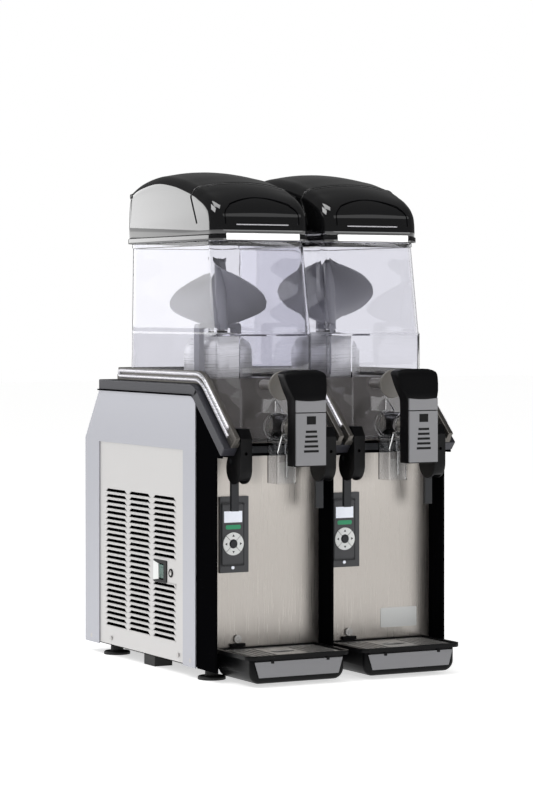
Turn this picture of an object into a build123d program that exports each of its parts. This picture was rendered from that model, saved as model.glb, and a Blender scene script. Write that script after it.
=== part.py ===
from build123d import *
import os
from math import cos, pi, radians, sin, tan

# Two-bowl countertop slush machine, millimetres.
# +X is the right-hand side seen from the front, -Y is the front, +Z is up.
# The origin is on the table, under the middle of the machine's box.

# ---- Driving dimensions ----
HALF_WIDTH = 200.0
REAR_Y = 281.5
HANDLE_FRONT_Y = -281.5
SIDE_FRONT_Y = -115.0
COLUMN_Y = -175.0
PANEL_Y = -136.0
BASE_Z = 16.0
BEND_Z = 343.0
SIDE_TOP_Z = 420.5
DECK_Z = 437.0
DECK_REAR_Y = 234.5
PITCH = 190.0
SHEET = 1.6
GAP = 0.3
SIDES = (("left", -PITCH / 2), ("right", PITCH / 2))

# Deck: flat at the rear, then a straight slope down to the front
DECK_THICK = 16.0
DECK_BREAK_Y = -104.0
DECK_NOSE_Y, DECK_NOSE_Z = -205.0, 346.0
SLOPE = 42.0
BEND_R = 30.0

# Bowl
BOWL_TOP_Z = 651.0
BOWL_WALL = 3.0
BOWL_HALF_TOP, BOWL_HALF_LOW = 79.0, 81.5
BOWL_REAR_TOP, BOWL_REAR_LOW = 173.0, 176.5
BOWL_FRONT_TOP, BOWL_FRONT_LOW = -127.5, -175.0
BOWL_LOW_Z = 352.0
BOWL_CORNER_R = 22.0
LEDGE_Z = 512.0
NOSE_HALF = 57.0
NOSE_Y = -170.0
NOSE_SIDE_Y = -138.0

# Freezing column and auger
AXIS_Y = 15.0
EVAPORATOR_R = 52.0
FLOOR_Z = 445.0
DOME_TOP_Z = 512.0
SHAFT_R = 8.0
AUGER_R = 74.0
BLADE_LOW_Z, BLADE_HIGH_Z = 522.0, 630.0
BLADE_SWEEP = 165.0
BLADE_THICK = 4.0

# Seat of the bowl
SEAT_HALF = 79.7
SEAT_FRONT_Y = -166.5
SEAT_BREAK_Y = -90.0
SEAT_LOW_Y, SEAT_LOW_Z = -160.0, 356.0
RAIL_HALF = 92.0
SEAT_REAR_Y = 174.0

# Tap and handle
VALVE_Z = 375.0
VALVE_R, VALVE_BORE = 20.5, 17.6
VALVE_FRONT_Y = -236.0
PLUG_Z = 436.0
SPOUT_HALF = 16.5
SPOUT_BACK_Y, SPOUT_FRONT_Y = -174.0, -208.0
SPOUT_LOW_Z = 292.0
PIVOT_Y, PIVOT_Z = -240.0, 344.0
PIN_R = 3.0
HANDLE_HALF = 25.0
HANDLE_BACK_Y = -253.0
HANDLE_LOW_Z, HANDLE_KNEE_Z, HANDLE_TOP_Z = 321.0, 420.0, 462.0
HEAD_HALF = 35.0

# Latches beside the tap
EAR_X = 71.0
EAR_FRONT_Y = -213.5
LATCH_Y, LATCH_Z = -180.0, 326.0

# Lid
LID_HALF = 82.5
LID_REAR_Y, LID_FRONT_Y = 176.5, -131.0
LID_LOW_Z = 651.2
LID_ARCH = ((-131, 702), (-118, 719), (-96, 732), (-62, 742), (0, 755), (60, 762), (120, 757), (176.5, 742))
LID_SHOULDER_R = 20.0
LID_WALL = 3.0

# Controls, measured from the middle of each bowl
PLATE_LEFT, PLATE_RIGHT = -76.0, -28.6
PLATE_LOW_Z, PLATE_HIGH_Z = 158.0, 271.0
DIAL_X, DIAL_Z, DIAL_R = -55.4, 201.0, 17.0
BUTTON_R = 5.6

# Drip tray
TRAY_BACK_Y, TRAY_FRONT_Y, RIM_FRONT_Y = -138.6, -243.0, -250.0
TRAY_HALF, RIM_HALF = 78.0, 86.0
TRAY_LOW_Z, RIM_LOW_Z, RIM_HIGH_Z = 5.0, 41.0, 47.0

# Louvres in the side panels
LOUVRE_REAR_Y, LOUVRE_FRONT_Y, LOUVRE_TOP_Z = 228.5, -73.5, 338.5
SLOT_COLUMNS = ((128.6, 205.9), (43.8, 119.8), (-45.3, 33.0))
SLOT_ROWS, SLOT_PITCH, SLOT_HIGH, SLOT_TOP_Z = 25, 8.8, 4.6, 262.0
SWITCH_ROWS = range(11, 15)
SWITCH_Y, SWITCH_Z = 7.0, 150.0
SWITCH_HALF_Y, SWITCH_HALF_Z = 23.0, 17.0

# Condenser fan
FAN_Y, FAN_Z, FAN_R = 135.0, 170.0, 80.0

os.makedirs("parts", exist_ok=True)


def save(piece, name):
    """Label a finished piece and write it as its own STEP file."""
    piece.label = name
    export_step(piece, f"parts/{name}.step")


def block(x, y, z, mode=Mode.ADD):
    """Box between two corners, given as (low, high) pairs."""
    with Locations((sum(x) / 2, sum(y) / 2, sum(z) / 2)):
        Box(x[1] - x[0], y[1] - y[0], z[1] - z[0], mode=mode)


def slab_x(points, x, mode=Mode.ADD):
    """Prism along X of a closed outline in the Y-Z plane."""
    with BuildSketch(Plane.YZ.offset(x[0])) as outline:
        with BuildLine():
            Polyline(*points, close=True)
        make_face()
    extrude(outline.sketch, amount=x[1] - x[0], mode=mode)


def rod_x(y, z, radius, x, mode=Mode.ADD):
    """Cylinder along X."""
    with BuildSketch(Plane.YZ.offset(x[0])) as outline:
        with Locations((y, z)):
            Circle(radius)
    extrude(outline.sketch, amount=x[1] - x[0], mode=mode)


def rod_y(x, z, radius, y, mode=Mode.ADD):
    """Cylinder along Y."""
    with BuildSketch(Plane.XZ.offset(-y[1])) as outline:
        with Locations((x, z)):
            Circle(radius)
    extrude(outline.sketch, amount=y[1] - y[0], mode=mode)


def rod_z(x, y, radius, z, mode=Mode.ADD):
    """Cylinder along Z."""
    with BuildSketch(Plane.XY.offset(z[0])) as outline:
        with Locations((x, y)):
            Circle(radius)
    extrude(outline.sketch, amount=z[1] - z[0], mode=mode)


def deck_line(off, rear_y):
    """Corners of a line parallel to the deck's upper face, from the rear to the nose."""
    a = radians(SLOPE)
    nose = (DECK_NOSE_Y - off * sin(a), DECK_NOSE_Z + off * cos(a))
    return (rear_y, DECK_Z + off), (DECK_BREAK_Y - off * tan(a / 2), DECK_Z + off), nose


def deck_band(low, high, x, rear_y, mode=Mode.ADD):
    """Band between two lines parallel to the deck, along X."""
    upper, lower = deck_line(high, rear_y), deck_line(low, rear_y)
    with BuildSketch(Plane.YZ.offset(x[0])) as outline:
        with BuildLine():
            FilletPolyline(*upper, radius=BEND_R + high)
            FilletPolyline(*lower, radius=BEND_R + low)
            Line(upper[0], lower[0])
            Line(upper[2], lower[2])
        make_face()
    extrude(outline.sketch, amount=x[1] - x[0], mode=mode)


def cut_below_deck_line(off, x):
    """Take away everything under a line parallel to the deck, along X."""
    line = deck_line(off, 200)
    with BuildSketch(Plane.YZ.offset(x[0])) as outline:
        with BuildLine():
            FilletPolyline(*line, radius=BEND_R + off)
            Polyline(line[2], (line[2][0], 300), (200, 300), line[0])
        make_face()
    extrude(outline.sketch, amount=x[1] - x[0], mode=Mode.SUBTRACT)


# ---- Housing ----
with BuildPart() as base_pan:
    block((-192.5, 192.5), (-133.9, 277.0), (BASE_Z, BASE_Z + 14))
    block((-191, 191), (-132.4, 275.5), (BASE_Z + 2, BASE_Z + 15), Mode.SUBTRACT)
save(base_pan.part, "base_pan")

LEAN = 3.0
SHEET_SCREW_Y = (-98, 258)
with BuildPart() as side_panels:
    for side in (-1, 1):
        outer, inner = side * HALF_WIDTH, side * (HALF_WIDTH - SHEET)
        wall = (min(outer, inner), max(outer, inner))
        block(wall, (SIDE_FRONT_Y, REAR_Y), (BASE_Z, BEND_Z))
        block(wall, (LOUVRE_FRONT_Y, LOUVRE_REAR_Y), (BASE_Z - 1, LOUVRE_TOP_Z), Mode.SUBTRACT)
        with BuildSketch(Plane.XY.offset(BEND_Z)):
            with Locations((sum(wall) / 2, (SIDE_FRONT_Y + REAR_Y) / 2)):
                Rectangle(SHEET, REAR_Y - SIDE_FRONT_Y)
        with BuildSketch(Plane.XY.offset(SIDE_TOP_Z)):
            with Locations((sum(wall) / 2 - side * LEAN, (SIDE_FRONT_Y + 6 + DECK_REAR_Y) / 2)):
                Rectangle(SHEET, DECK_REAR_Y - SIDE_FRONT_Y - 6)
        loft(ruled=True)
    # Front top corner under the sloping deck, and holes for the fixing screws
    corner = ((-120, 399.6), (-103, 415), (-95, 418.8), (-88, 420.3), (-88, 430), (-120, 430))
    slab_x(corner, (-210, 210), Mode.SUBTRACT)
    for y in SHEET_SCREW_Y:
        rod_x(y, 26, 3.6, (-210, 210), Mode.SUBTRACT)
save(side_panels.part, "side_panels")

with BuildPart() as louvre_panels:
    for side in (-1, 1):
        wall = sorted((side * (HALF_WIDTH - SHEET - GAP), side * (HALF_WIDTH - SHEET - GAP - 1.4)))
        block(wall, (LOUVRE_FRONT_Y - 10, LOUVRE_REAR_Y + 10), (BASE_Z + 2.5, LOUVRE_TOP_Z + 2))
    slots = []
    for column, (y_low, y_high) in enumerate(SLOT_COLUMNS):
        for row in range(SLOT_ROWS):
            if column == 2 and row in SWITCH_ROWS:
                continue
            slots.append(((y_low + y_high) / 2, SLOT_TOP_Z - SLOT_PITCH * row))
    with Locations([(0, y, z) for y, z in slots]):
        Box(2 * HALF_WIDTH + 10, 76.0, SLOT_HIGH, mode=Mode.SUBTRACT)
    with Locations((-HALF_WIDTH, SWITCH_Y, SWITCH_Z)):
        Box(20, 2 * SWITCH_HALF_Y + 0.8, 2 * SWITCH_HALF_Z + 0.8, mode=Mode.SUBTRACT)
save(louvre_panels.part, "louvre_panels")

INNER = HALF_WIDTH - SHEET - GAP
with BuildPart() as rear_panel:
    block((-INNER, INNER), (REAR_Y - 1.5, REAR_Y), (BASE_Z, BEND_Z))
    with BuildSketch(Plane.XY.offset(BEND_Z)):
        with Locations((0, REAR_Y - 0.75)):
            Rectangle(2 * INNER, 1.5)
    with BuildSketch(Plane.XY.offset(SIDE_TOP_Z)):
        with Locations((0, DECK_REAR_Y - 0.75)):
            Rectangle(2 * (INNER - LEAN), 1.5)
    loft(ruled=True)
    with Locations([(x, REAR_Y, 110 + 16 * row) for x in (-105, 0, 105) for row in range(12)]):
        Box(80, 10, 5, mode=Mode.SUBTRACT)
    block((-150, -118), (REAR_Y - 5, REAR_Y + 5), (48, 76), Mode.SUBTRACT)
save(rear_panel.part, "rear_panel")

with BuildPart() as power_inlet:
    block((-149.7, -118.3), (REAR_Y - 26, REAR_Y - GAP), (48.3, 75.7))
    block((-145, -123), (REAR_Y - 18, REAR_Y + 1), (53, 71), Mode.SUBTRACT)
    for x in (-139.5, -134, -128.5):
        block((x - 1, x + 1), (REAR_Y - 19, REAR_Y - 4), (60, 64))
save(power_inlet.part, "power_inlet")

# Black front frame: side columns, cheeks under the deck, middle divider, bottom rail and latch rail
COLUMN_X = 197.0
RAIL_FRONT_Y = -155.0
CHEEK_LOW_Z = 331.0
CHEEK = ((SIDE_FRONT_Y - 0.5, CHEEK_LOW_Z), (SIDE_FRONT_Y - 0.5, 404.5), (-193.5, 334.2), (-193.5, CHEEK_LOW_Z))
with BuildPart() as front_frame:
    for side in (-1, 1):
        wall = sorted((side * COLUMN_X, side * (COLUMN_X - 4)))
        block(wall, (COLUMN_Y, SIDE_FRONT_Y - 0.5), (BASE_Z, CHEEK_LOW_Z + 1))
        slab_x(CHEEK, wall)
    block((-2, 2), (COLUMN_Y, -134.2), (BASE_Z, CHEEK_LOW_Z + 1))
    slab_x(CHEEK, (-10, 10))
    block((-COLUMN_X + 1, COLUMN_X - 1), (-138, -134.2), (BASE_Z, 38))
    block((-COLUMN_X + 1, COLUMN_X - 1), (RAIL_FRONT_Y, -137.6), (CHEEK_LOW_Z, 348))
save(front_frame.part, "front_frame")

with BuildPart() as top_deck:
    deck_band(-DECK_THICK, 0, (-198, 198), DECK_REAR_Y)
    for name, cx in SIDES:
        block((cx - 80, cx + 80), (-300, SEAT_REAR_Y), (300, 500), Mode.SUBTRACT)
save(top_deck.part, "top_deck")

with BuildPart() as feet:
    for x in (-176, 176):
        for y in (-122, 212):
            rod_z(x, y, 21, (0, 5))
            rod_z(x, y, 10, (5, BASE_Z))
        block((x - 15, x + 15), (42, 80), (0, BASE_Z))
    chamfer(feet.edges().filter_by(GeomType.CIRCLE).group_by(Axis.Z)[1], 1.5)
save(feet.part, "feet")

with BuildPart() as front_panels:
    for name, cx in SIDES:
        inner, outer = sorted((cx * 2.2 / 95, cx + (97.8 if cx > 0 else -97.8)))
        block((inner, outer), (PANEL_Y, PANEL_Y + 1.5), (38.3, CHEEK_LOW_Z - GAP))
save(front_panels.part, "front_panels")

with BuildPart() as panel_screws:
    for side in (-1, 1):
        for y in (-55, 185):
            face = side * (HALF_WIDTH - SHEET - GAP)
            rod_x(y, 29, 3.6, sorted((face, face + side * 1.8)))
        for y in SHEET_SCREW_Y:
            rod_x(y, 26, 3.5, sorted((side * HALF_WIDTH, side * (HALF_WIDTH - 4))))
            rod_x(y, 26, 5.0, sorted((side * (HALF_WIDTH - 2), side * (HALF_WIDTH - 4))))
    for name, cx in SIDES:
        rod_y(cx - 46, 59, 6.0, (PANEL_Y - 3.5, PANEL_Y))
save(panel_screws.part, "panel_screws")

# ---- Switch ----
SWITCH_X = -(HALF_WIDTH - SHEET)
with BuildPart() as switch_bezel:
    with Locations((SWITCH_X + 10.3, SWITCH_Y, SWITCH_Z)):
        Box(23.4, 2 * SWITCH_HALF_Y, 2 * SWITCH_HALF_Z)
        with Locations((-5.3, 0, 0)):
            Box(18, 20, 24, mode=Mode.SUBTRACT)
    # Fuse cap beside the switch
    rod_x(-31, SWITCH_Z, 4.5, (-199.9, -198.1))
save(switch_bezel.part, "switch_bezel")

ROCKER_X = SWITCH_X + 6.5
with BuildPart() as switch_rocker:
    with BuildSketch(Plane.XZ.offset(-(SWITCH_Y + 9.5))):
        with Locations((ROCKER_X, SWITCH_Z)):
            Circle(7.0)
        with Locations(Location((ROCKER_X, SWITCH_Z), 9)):
            Rectangle(9.0, 20.0)
    extrude(amount=19)
save(switch_rocker.part, "switch_rocker")

# ---- Refrigeration ----
with BuildPart() as compressor:
    rod_z(92, 195, 60, (BASE_Z + 8, 185))
    fillet(compressor.edges().filter_by(GeomType.CIRCLE).group_by(Axis.Z)[-1], 24)
    for angle in (45, 135, 225, 315):
        rod_z(92 + 66 * cos(radians(angle)), 195 + 66 * sin(radians(angle)), 10, (BASE_Z + 2.2, BASE_Z + 16))
    block((152, 178), (172, 218), (70, 120))
save(compressor.part, "compressor")

with BuildPart() as condenser:
    block((-186, -152), (45, 225), (BASE_Z + 14, 290))
    with Locations([(-169, 135, 46 + 13 * row) for row in range(19)]):
        Box(40, 160, 4, mode=Mode.SUBTRACT)
    for z in (34, 150, 286):
        block((-175, -163), (45, 225), (z - 4, z + 4))
save(condenser.part, "condenser")

with BuildPart() as fan_motor:
    block((-150, -147), (45, 225), (80, 260))
    rod_x(FAN_Y, FAN_Z, FAN_R + 7, (-147, -104))
    rod_x(FAN_Y, FAN_Z, FAN_R + 4, (-151, -108), Mode.SUBTRACT)
    rod_x(FAN_Y, FAN_Z, FAN_R - 3, (-109, -103), Mode.SUBTRACT)
    for angle in (0, 60, 120):
        with Locations(Location((-106, FAN_Y, FAN_Z), (angle, 0, 0))):
            Box(4, 2 * FAN_R + 4, 8)
    rod_x(FAN_Y, FAN_Z, 26, (-108, -66))
save(fan_motor.part, "fan_motor")

with BuildPart() as fan_blade:
    rod_x(FAN_Y, FAN_Z, 20, (-140, -112))
    rod_x(FAN_Y, FAN_Z, 4, (-112, -108.2))
    for angle in range(0, 360, 72):
        with Locations(Location((-126, FAN_Y, FAN_Z), (angle, 0, 0))):
            with Locations(Location((0, 0, 46), (0, 0, 35))):
                Box(1.8, 30, 62)
save(fan_blade.part, "fan_blade")

with BuildPart() as refrigerant_pipes:
    routes = (
        ((60, 195, 185), (60, 195, 275), (-152, 195, 275)),
        ((120, 195, 185), (120, 195, 310), (120, 75, 310), (120, 75, 429)),
        ((-152, 100, 275), (-60, 100, 275), (-60, 75, 330), (-60, 75, 429)),
    )
    for route in routes:
        with BuildLine() as path:
            FilletPolyline(*route, radius=16)
        start = path.line
        with BuildSketch(Plane(origin=start @ 0, z_dir=start % 0)):
            Circle(4)
        sweep(path=path.line)
save(refrigerant_pipes.part, "refrigerant_pipes")

with BuildPart() as gearmotors:
    for name, cx in SIDES:
        block((cx - 42, cx + 42), (AXIS_Y - 45, AXIS_Y + 45), (345, 400))
        rod_z(cx, AXIS_Y, 30, (262, 345))
        rod_z(cx, AXIS_Y, 18, (400, 428.5))
        rod_z(cx, AXIS_Y, SHAFT_R + 0.06, (384, 429), Mode.SUBTRACT)
save(gearmotors.part, "gearmotors")

with BuildPart() as evaporators:
    for name, cx in SIDES:
        with BuildSketch(Plane.XZ.offset(-AXIS_Y)):
            with BuildLine():
                Polyline((cx + 18, DOME_TOP_Z), (cx + 9, DOME_TOP_Z), (cx + 9, FLOOR_Z), (cx + EVAPORATOR_R, FLOOR_Z),
                         (cx + EVAPORATOR_R, DOME_TOP_Z - 30))
                ThreePointArc((cx + EVAPORATOR_R, DOME_TOP_Z - 30), (cx + 42, DOME_TOP_Z - 9.5),
                              (cx + 18, DOME_TOP_Z))
            make_face()
        revolve(axis=Axis((cx, AXIS_Y, 0), (0, 0, 1)))
save(evaporators.part, "evaporators")

with BuildPart() as shaft_seals:
    for name, cx in SIDES:
        rod_z(cx, AXIS_Y, 14, (DOME_TOP_Z, DOME_TOP_Z + 3.5))
        rod_z(cx, AXIS_Y, SHAFT_R + 0.06, (DOME_TOP_Z - 1, DOME_TOP_Z + 5), Mode.SUBTRACT)
save(shaft_seals.part, "shaft_seals")

# ---- Controls ----
with BuildPart() as control_plates:
    for name, cx in SIDES:
        block((cx + PLATE_LEFT, cx + PLATE_RIGHT), (PANEL_Y - 4, PANEL_Y), (PLATE_LOW_Z, PLATE_HIGH_Z))
        block((cx + PLATE_LEFT + 1.5, cx + PLATE_RIGHT - 5), (PANEL_Y - 6, PANEL_Y - 3), (172, 259))
        block((cx - 70.5, cx - 40), (PANEL_Y - 7, PANEL_Y - 4), (232.5, 249.5), Mode.SUBTRACT)
        rod_y(cx + DIAL_X, DIAL_Z, BUTTON_R + 0.3, (PANEL_Y - 7, PANEL_Y - 3.5), Mode.SUBTRACT)
save(control_plates.part, "control_plates")

with BuildPart() as display_windows:
    for name, cx in SIDES:
        block((cx - 70.4, cx - 40.1), (PANEL_Y - 5.7, PANEL_Y - 4), (232.6, 249.4))
        rod_y(cx + DIAL_X, 165.5, 2.4, (PANEL_Y - 5.5, PANEL_Y - 4))
save(display_windows.part, "display_windows")

with BuildPart() as keypad_rings:
    for name, cx in SIDES:
        rod_y(cx + DIAL_X, DIAL_Z, DIAL_R, (PANEL_Y - 7.2, PANEL_Y - 6))
        rod_y(cx + DIAL_X, DIAL_Z, BUTTON_R + 1.2, (PANEL_Y - 8, PANEL_Y - 5), Mode.SUBTRACT)
        for angle in (45, 135):
            with Locations(Location((cx + DIAL_X, PANEL_Y - 7, DIAL_Z), (0, angle, 0))):
                Box(0.8, 3, 2 * DIAL_R + 2, mode=Mode.SUBTRACT)
save(keypad_rings.part, "keypad_rings")

with BuildPart() as tray_hooks:
    for name, cx in SIDES:
        block((cx - 58, cx - 34), (PANEL_Y - 5.2, PANEL_Y), (47.5, 52.5))
save(tray_hooks.part, "tray_hooks")

EAR_PROFILE = ((-180, 374), (-204, 374), (EAR_FRONT_Y, 360), (EAR_FRONT_Y, 316), (-180, 316))
with BuildPart() as latch_ears:
    for name, cx in SIDES:
        for side in (-1, 1):
            x = sorted((cx + side * 61, cx + side * 79.6))
            slab_x(EAR_PROFILE, x)
            rod_x(-190, 316, 23.5, x)
            block(x, (-190, RAIL_FRONT_Y), (CHEEK_LOW_Z, 348))
            slot = (cx + side * EAR_X - 6.5, cx + side * EAR_X + 6.5)
            block(slot, (-205, -150), (280, 352), Mode.SUBTRACT)
            inner = sorted((cx + side * 60, cx + side * 65))
            block(inner, (-174, -150), (320, 352), Mode.SUBTRACT)
            rod_x(LATCH_Y, LATCH_Z, 4.06, (x[0] - 1, x[1] + 1), Mode.SUBTRACT)
            rod_y(cx + side * EAR_X, 338, 2.5, (-216, -208), Mode.SUBTRACT)
save(latch_ears.part, "latch_ears")

with BuildPart() as bowl_gaskets:
    for name, cx in SIDES:
        for side in (-1, 1):
            deck_band(9.4, 11.4, sorted((cx + side * 79.8, cx + side * 82.6)), 178.0)
        block((cx - 80, cx + 80), (174.4, 178.0), (DECK_Z + 9.4, DECK_Z + 11.4))
save(bowl_gaskets.part, "bowl_gaskets")


# ---- One bowl position ----
def make_seat(cx):
    with BuildPart() as seat:
        floor = ((SEAT_REAR_Y - GAP, FLOOR_Z), (SEAT_BREAK_Y, FLOOR_Z), (SEAT_LOW_Y, SEAT_LOW_Z),
                 (SEAT_FRONT_Y, SEAT_LOW_Z), (SEAT_FRONT_Y, 350.5), (SEAT_LOW_Y - 1, 350.5),
                 (SEAT_BREAK_Y + 4, 429), (SEAT_REAR_Y - GAP, 429))
        slab_x(floor, (cx - SEAT_HALF, cx + SEAT_HALF))
        for side in (-1, 1):
            deck_band(GAP, 9.2, sorted((cx + side * (SEAT_HALF - 0.01), cx + side * RAIL_HALF)), 188)
            deck_band(9.2, 20, sorted((cx + side * 82.9, cx + side * (RAIL_HALF - 1.2))), 187)
        block((cx - RAIL_HALF + 1, cx + RAIL_HALF - 1), (SEAT_REAR_Y - GAP, 188), (DECK_Z + GAP, DECK_Z + 9.2))
        block((cx - 83, cx + 83), (178.5, 187), (DECK_Z + 9.2, DECK_Z + 20))
        rod_z(cx, AXIS_Y, 12, (425, FLOOR_Z + 1), Mode.SUBTRACT)
        # Room for the gasket and the latch ears
        for side in (-1, 1):
            deck_band(9.2, 12, sorted((cx + side * 78.0, cx + side * 82.8)), 178.4, Mode.SUBTRACT)
    return seat.part


def make_shaft(cx):
    with BuildPart() as shaft:
        rod_z(cx, AXIS_Y, SHAFT_R, (386, 548))
        chamfer(shaft.edges().group_by(Axis.Z)[-1], 1.5)
    return shaft.part


def blade_reach(share):
    """Outer radius of a blade along its length: narrow at its tips, full in between."""
    return 20 + (AUGER_R - 20) * sin(pi * min(1.0, 0.10 + 0.40 * min(share, 1 - share) / 0.32))


def make_auger(cx, turn):
    with BuildPart() as auger:
        rod_z(cx, AXIS_Y, 15, (DOME_TOP_Z + 4.2, BLADE_HIGH_Z - 4))
        fillet(auger.edges().group_by(Axis.Z)[-1], 8)
        rod_z(cx, AXIS_Y, SHAFT_R + 0.02, (DOME_TOP_Z, 548.2), Mode.SUBTRACT)
        for start in (0, 180):
            for step in range(13):
                share = step / 12
                angle = radians(start + turn + BLADE_SWEEP * share)
                high = BLADE_HIGH_Z - 6 - (BLADE_HIGH_Z - BLADE_LOW_Z - 12) * share
                reach = blade_reach(share)
                out = Vector(cos(angle), sin(angle), 0)
                across = Vector(-sin(angle), cos(angle), 0)
                middle = Vector(cx, AXIS_Y, high) + out * ((12 + reach) / 2)
                with BuildSketch(Plane(origin=middle, x_dir=out, z_dir=across)):
                    Rectangle(reach - 12, BLADE_THICK)
            loft()
        # Scraping arms down the sides of the freezing column
        for start in (0, 180):
            angle = radians(start + turn + BLADE_SWEEP)
            out = Vector(cos(angle), sin(angle), 0)
            across = Vector(-sin(angle), cos(angle), 0)
            centre = Vector(cx, AXIS_Y, 0)
            spoke = Plane(origin=centre + out * 42 + Vector(0, 0, 523), x_dir=out, z_dir=Vector(0, 0, 1))
            with Locations(spoke.location):
                Box(60, 9, 7)
            arm = Plane(origin=centre + out * 63 + Vector(0, 0, 487), x_dir=out, z_dir=Vector(0, 0, 1))
            with Locations(arm.location):
                Box(18, 9, 79)
    return auger.part


def bowl_section(z, inset):
    """Rounded rectangle of the bowl at a height, drawn inside by the inset."""
    share = (BOWL_TOP_Z - z) / (BOWL_TOP_Z - BOWL_LOW_Z)
    half = BOWL_HALF_TOP + (BOWL_HALF_LOW - BOWL_HALF_TOP) * share - inset
    rear = BOWL_REAR_TOP + (BOWL_REAR_LOW - BOWL_REAR_TOP) * share - inset
    front = BOWL_FRONT_TOP + (BOWL_FRONT_LOW - BOWL_FRONT_TOP) * share + inset
    return half, front, rear


def bowl_form(cx, inset):
    """Solid form of the bowl, drawn inside by the inset: tapered body with a square nose below the ledge."""
    levels = []
    for z in (BOWL_LOW_Z - 1, BOWL_TOP_Z + (1 if inset else 0)):
        half, front, rear = bowl_section(z, inset)
        with BuildSketch(Plane.XY.offset(z)) as level:
            with Locations((cx, (front + rear) / 2)):
                RectangleRounded(2 * half, rear - front, BOWL_CORNER_R - inset)
        levels.append(level.sketch)
    side, front, chamfered = 80.0 - inset, NOSE_Y + inset, NOSE_HALF - inset * 0.6
    with BuildPart() as form:
        loft(levels, ruled=True)
        block((cx - 100, cx + 100), (-190, NOSE_SIDE_Y), (BOWL_LOW_Z - 5, LEDGE_Z - 4 * inset), Mode.SUBTRACT)
        with BuildSketch(Plane.XY.offset(BOWL_LOW_Z)):
            with BuildLine():
                Polyline((cx - side, -60), (cx - side, NOSE_SIDE_Y), (cx - chamfered, front),
                         (cx + chamfered, front), (cx + side, NOSE_SIDE_Y), (cx + side, -60), close=True)
            make_face()
        extrude(amount=LEDGE_Z - BOWL_LOW_Z - inset)
    return form.part


def make_bowl(cx):
    rim_half, rim_front, rim_rear = bowl_section(BOWL_TOP_Z, -1.6)
    with BuildPart() as bowl:
        add(bowl_form(cx, 0))
        with BuildSketch(Plane.XY.offset(BOWL_TOP_Z - 6)):
            with Locations((cx, (rim_front + rim_rear) / 2)):
                RectangleRounded(2 * rim_half, rim_rear - rim_front, BOWL_CORNER_R + 1.6)
        extrude(amount=6)
        add(bowl_form(cx, BOWL_WALL), mode=Mode.SUBTRACT)
        # Two flanges along the foot of the front wall, open around the tap
        for low, high, reach in ((BOWL_LOW_Z, 356.5, 5), (361, 366, 4)):
            for side in (-1, 1):
                block(sorted((cx + side * 23, cx + side * 56)), (NOSE_Y - reach, NOSE_Y + 1), (low, high))
        # The foot follows the seat: the floor inside, the gasket at the sides
        floor = ((200, FLOOR_Z + 3.6), (140, FLOOR_Z + 3.6), (140, FLOOR_Z + 0.4), (SEAT_BREAK_Y, FLOOR_Z + 0.4),
                 (SEAT_LOW_Y, SEAT_LOW_Z + 0.4), (SEAT_FRONT_Y - 0.3, SEAT_LOW_Z + 0.4),
                 (SEAT_FRONT_Y - 0.3, 300), (200, 300))
        slab_x(floor, (cx - 76, cx + 76), Mode.SUBTRACT)
        for side in (-1, 1):
            x = sorted((cx + side * 76, cx + side * 95))
            cut_below_deck_line(11.6, x)
            block(x, (-230, -150), (340, 395), Mode.SUBTRACT)
        # Holes for the tap and the plug
        rod_y(cx, VALVE_Z, VALVE_BORE, (NOSE_Y - 2, NOSE_Y + 12), Mode.SUBTRACT)
        rod_y(cx, PLUG_Z, 8.2, (NOSE_Y - 2, NOSE_Y + 12), Mode.SUBTRACT)
        # Stiffening rib above the plug
        block((cx - 1.2, cx + 1.2), (NOSE_Y - 2.5, NOSE_Y + 1), (462, 500))
    return bowl.part


def make_tap(cx):
    with BuildPart() as tap:
        rod_y(cx, VALVE_Z, VALVE_R, (VALVE_FRONT_Y, NOSE_Y - GAP))
        block((cx - SPOUT_HALF, cx + SPOUT_HALF), (SPOUT_FRONT_Y, SPOUT_BACK_Y), (SPOUT_LOW_Z, VALVE_Z))
        for side in (-1, 1):
            x = sorted((cx + side * 13, cx + side * 17))
            slab_x(((-220, 372), (-206, 336), (PIVOT_Y, PIVOT_Z - 8), (PIVOT_Y - 7, PIVOT_Z), (-236, 368)), x)
        block((cx - SPOUT_HALF + 2.2, cx + SPOUT_HALF - 2.2), (SPOUT_FRONT_Y + 2.2, SPOUT_BACK_Y - 2.2),
              (SPOUT_LOW_Z - 1, 352), Mode.SUBTRACT)
        rod_y(cx, VALVE_Z, VALVE_BORE, (VALVE_FRONT_Y + 3, NOSE_Y + 1), Mode.SUBTRACT)
        rod_y(cx, VALVE_Z, 5.5, (VALVE_FRONT_Y - 1, NOSE_Y), Mode.SUBTRACT)
        rod_z(cx, -184, 7, (340, VALVE_Z), Mode.SUBTRACT)
        rod_x(PIVOT_Y, PIVOT_Z, PIN_R + 0.05, (cx - 30, cx + 30), Mode.SUBTRACT)
    return tap.part


def make_piston(cx):
    with BuildPart() as piston:
        rod_y(cx, VALVE_Z, 15.8, (-206, -170))
        for y in (-174, -188, -202):
            rod_y(cx, VALVE_Z, 17.3, (y - 2, y + 2))
        rod_y(cx, VALVE_Z, 5.2, (-266, -205))
        rod_y(cx, VALVE_Z, 9, (-270, -264))
    return piston.part


def make_plug(cx):
    with BuildPart() as plug:
        with BuildSketch(Plane.XZ.offset(-NOSE_Y + GAP)):
            with Locations((cx, PLUG_Z)):
                Circle(12)
        with BuildSketch(Plane.XZ.offset(-NOSE_Y + 22)):
            with Locations((cx, PLUG_Z)):
                Circle(22)
        loft()
        rod_y(cx, PLUG_Z, 8, (NOSE_Y - 1, -130))
        rod_y(cx, PLUG_Z, 12, (NOSE_Y + 3.2, NOSE_Y + 9))
    return plug.part


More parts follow.
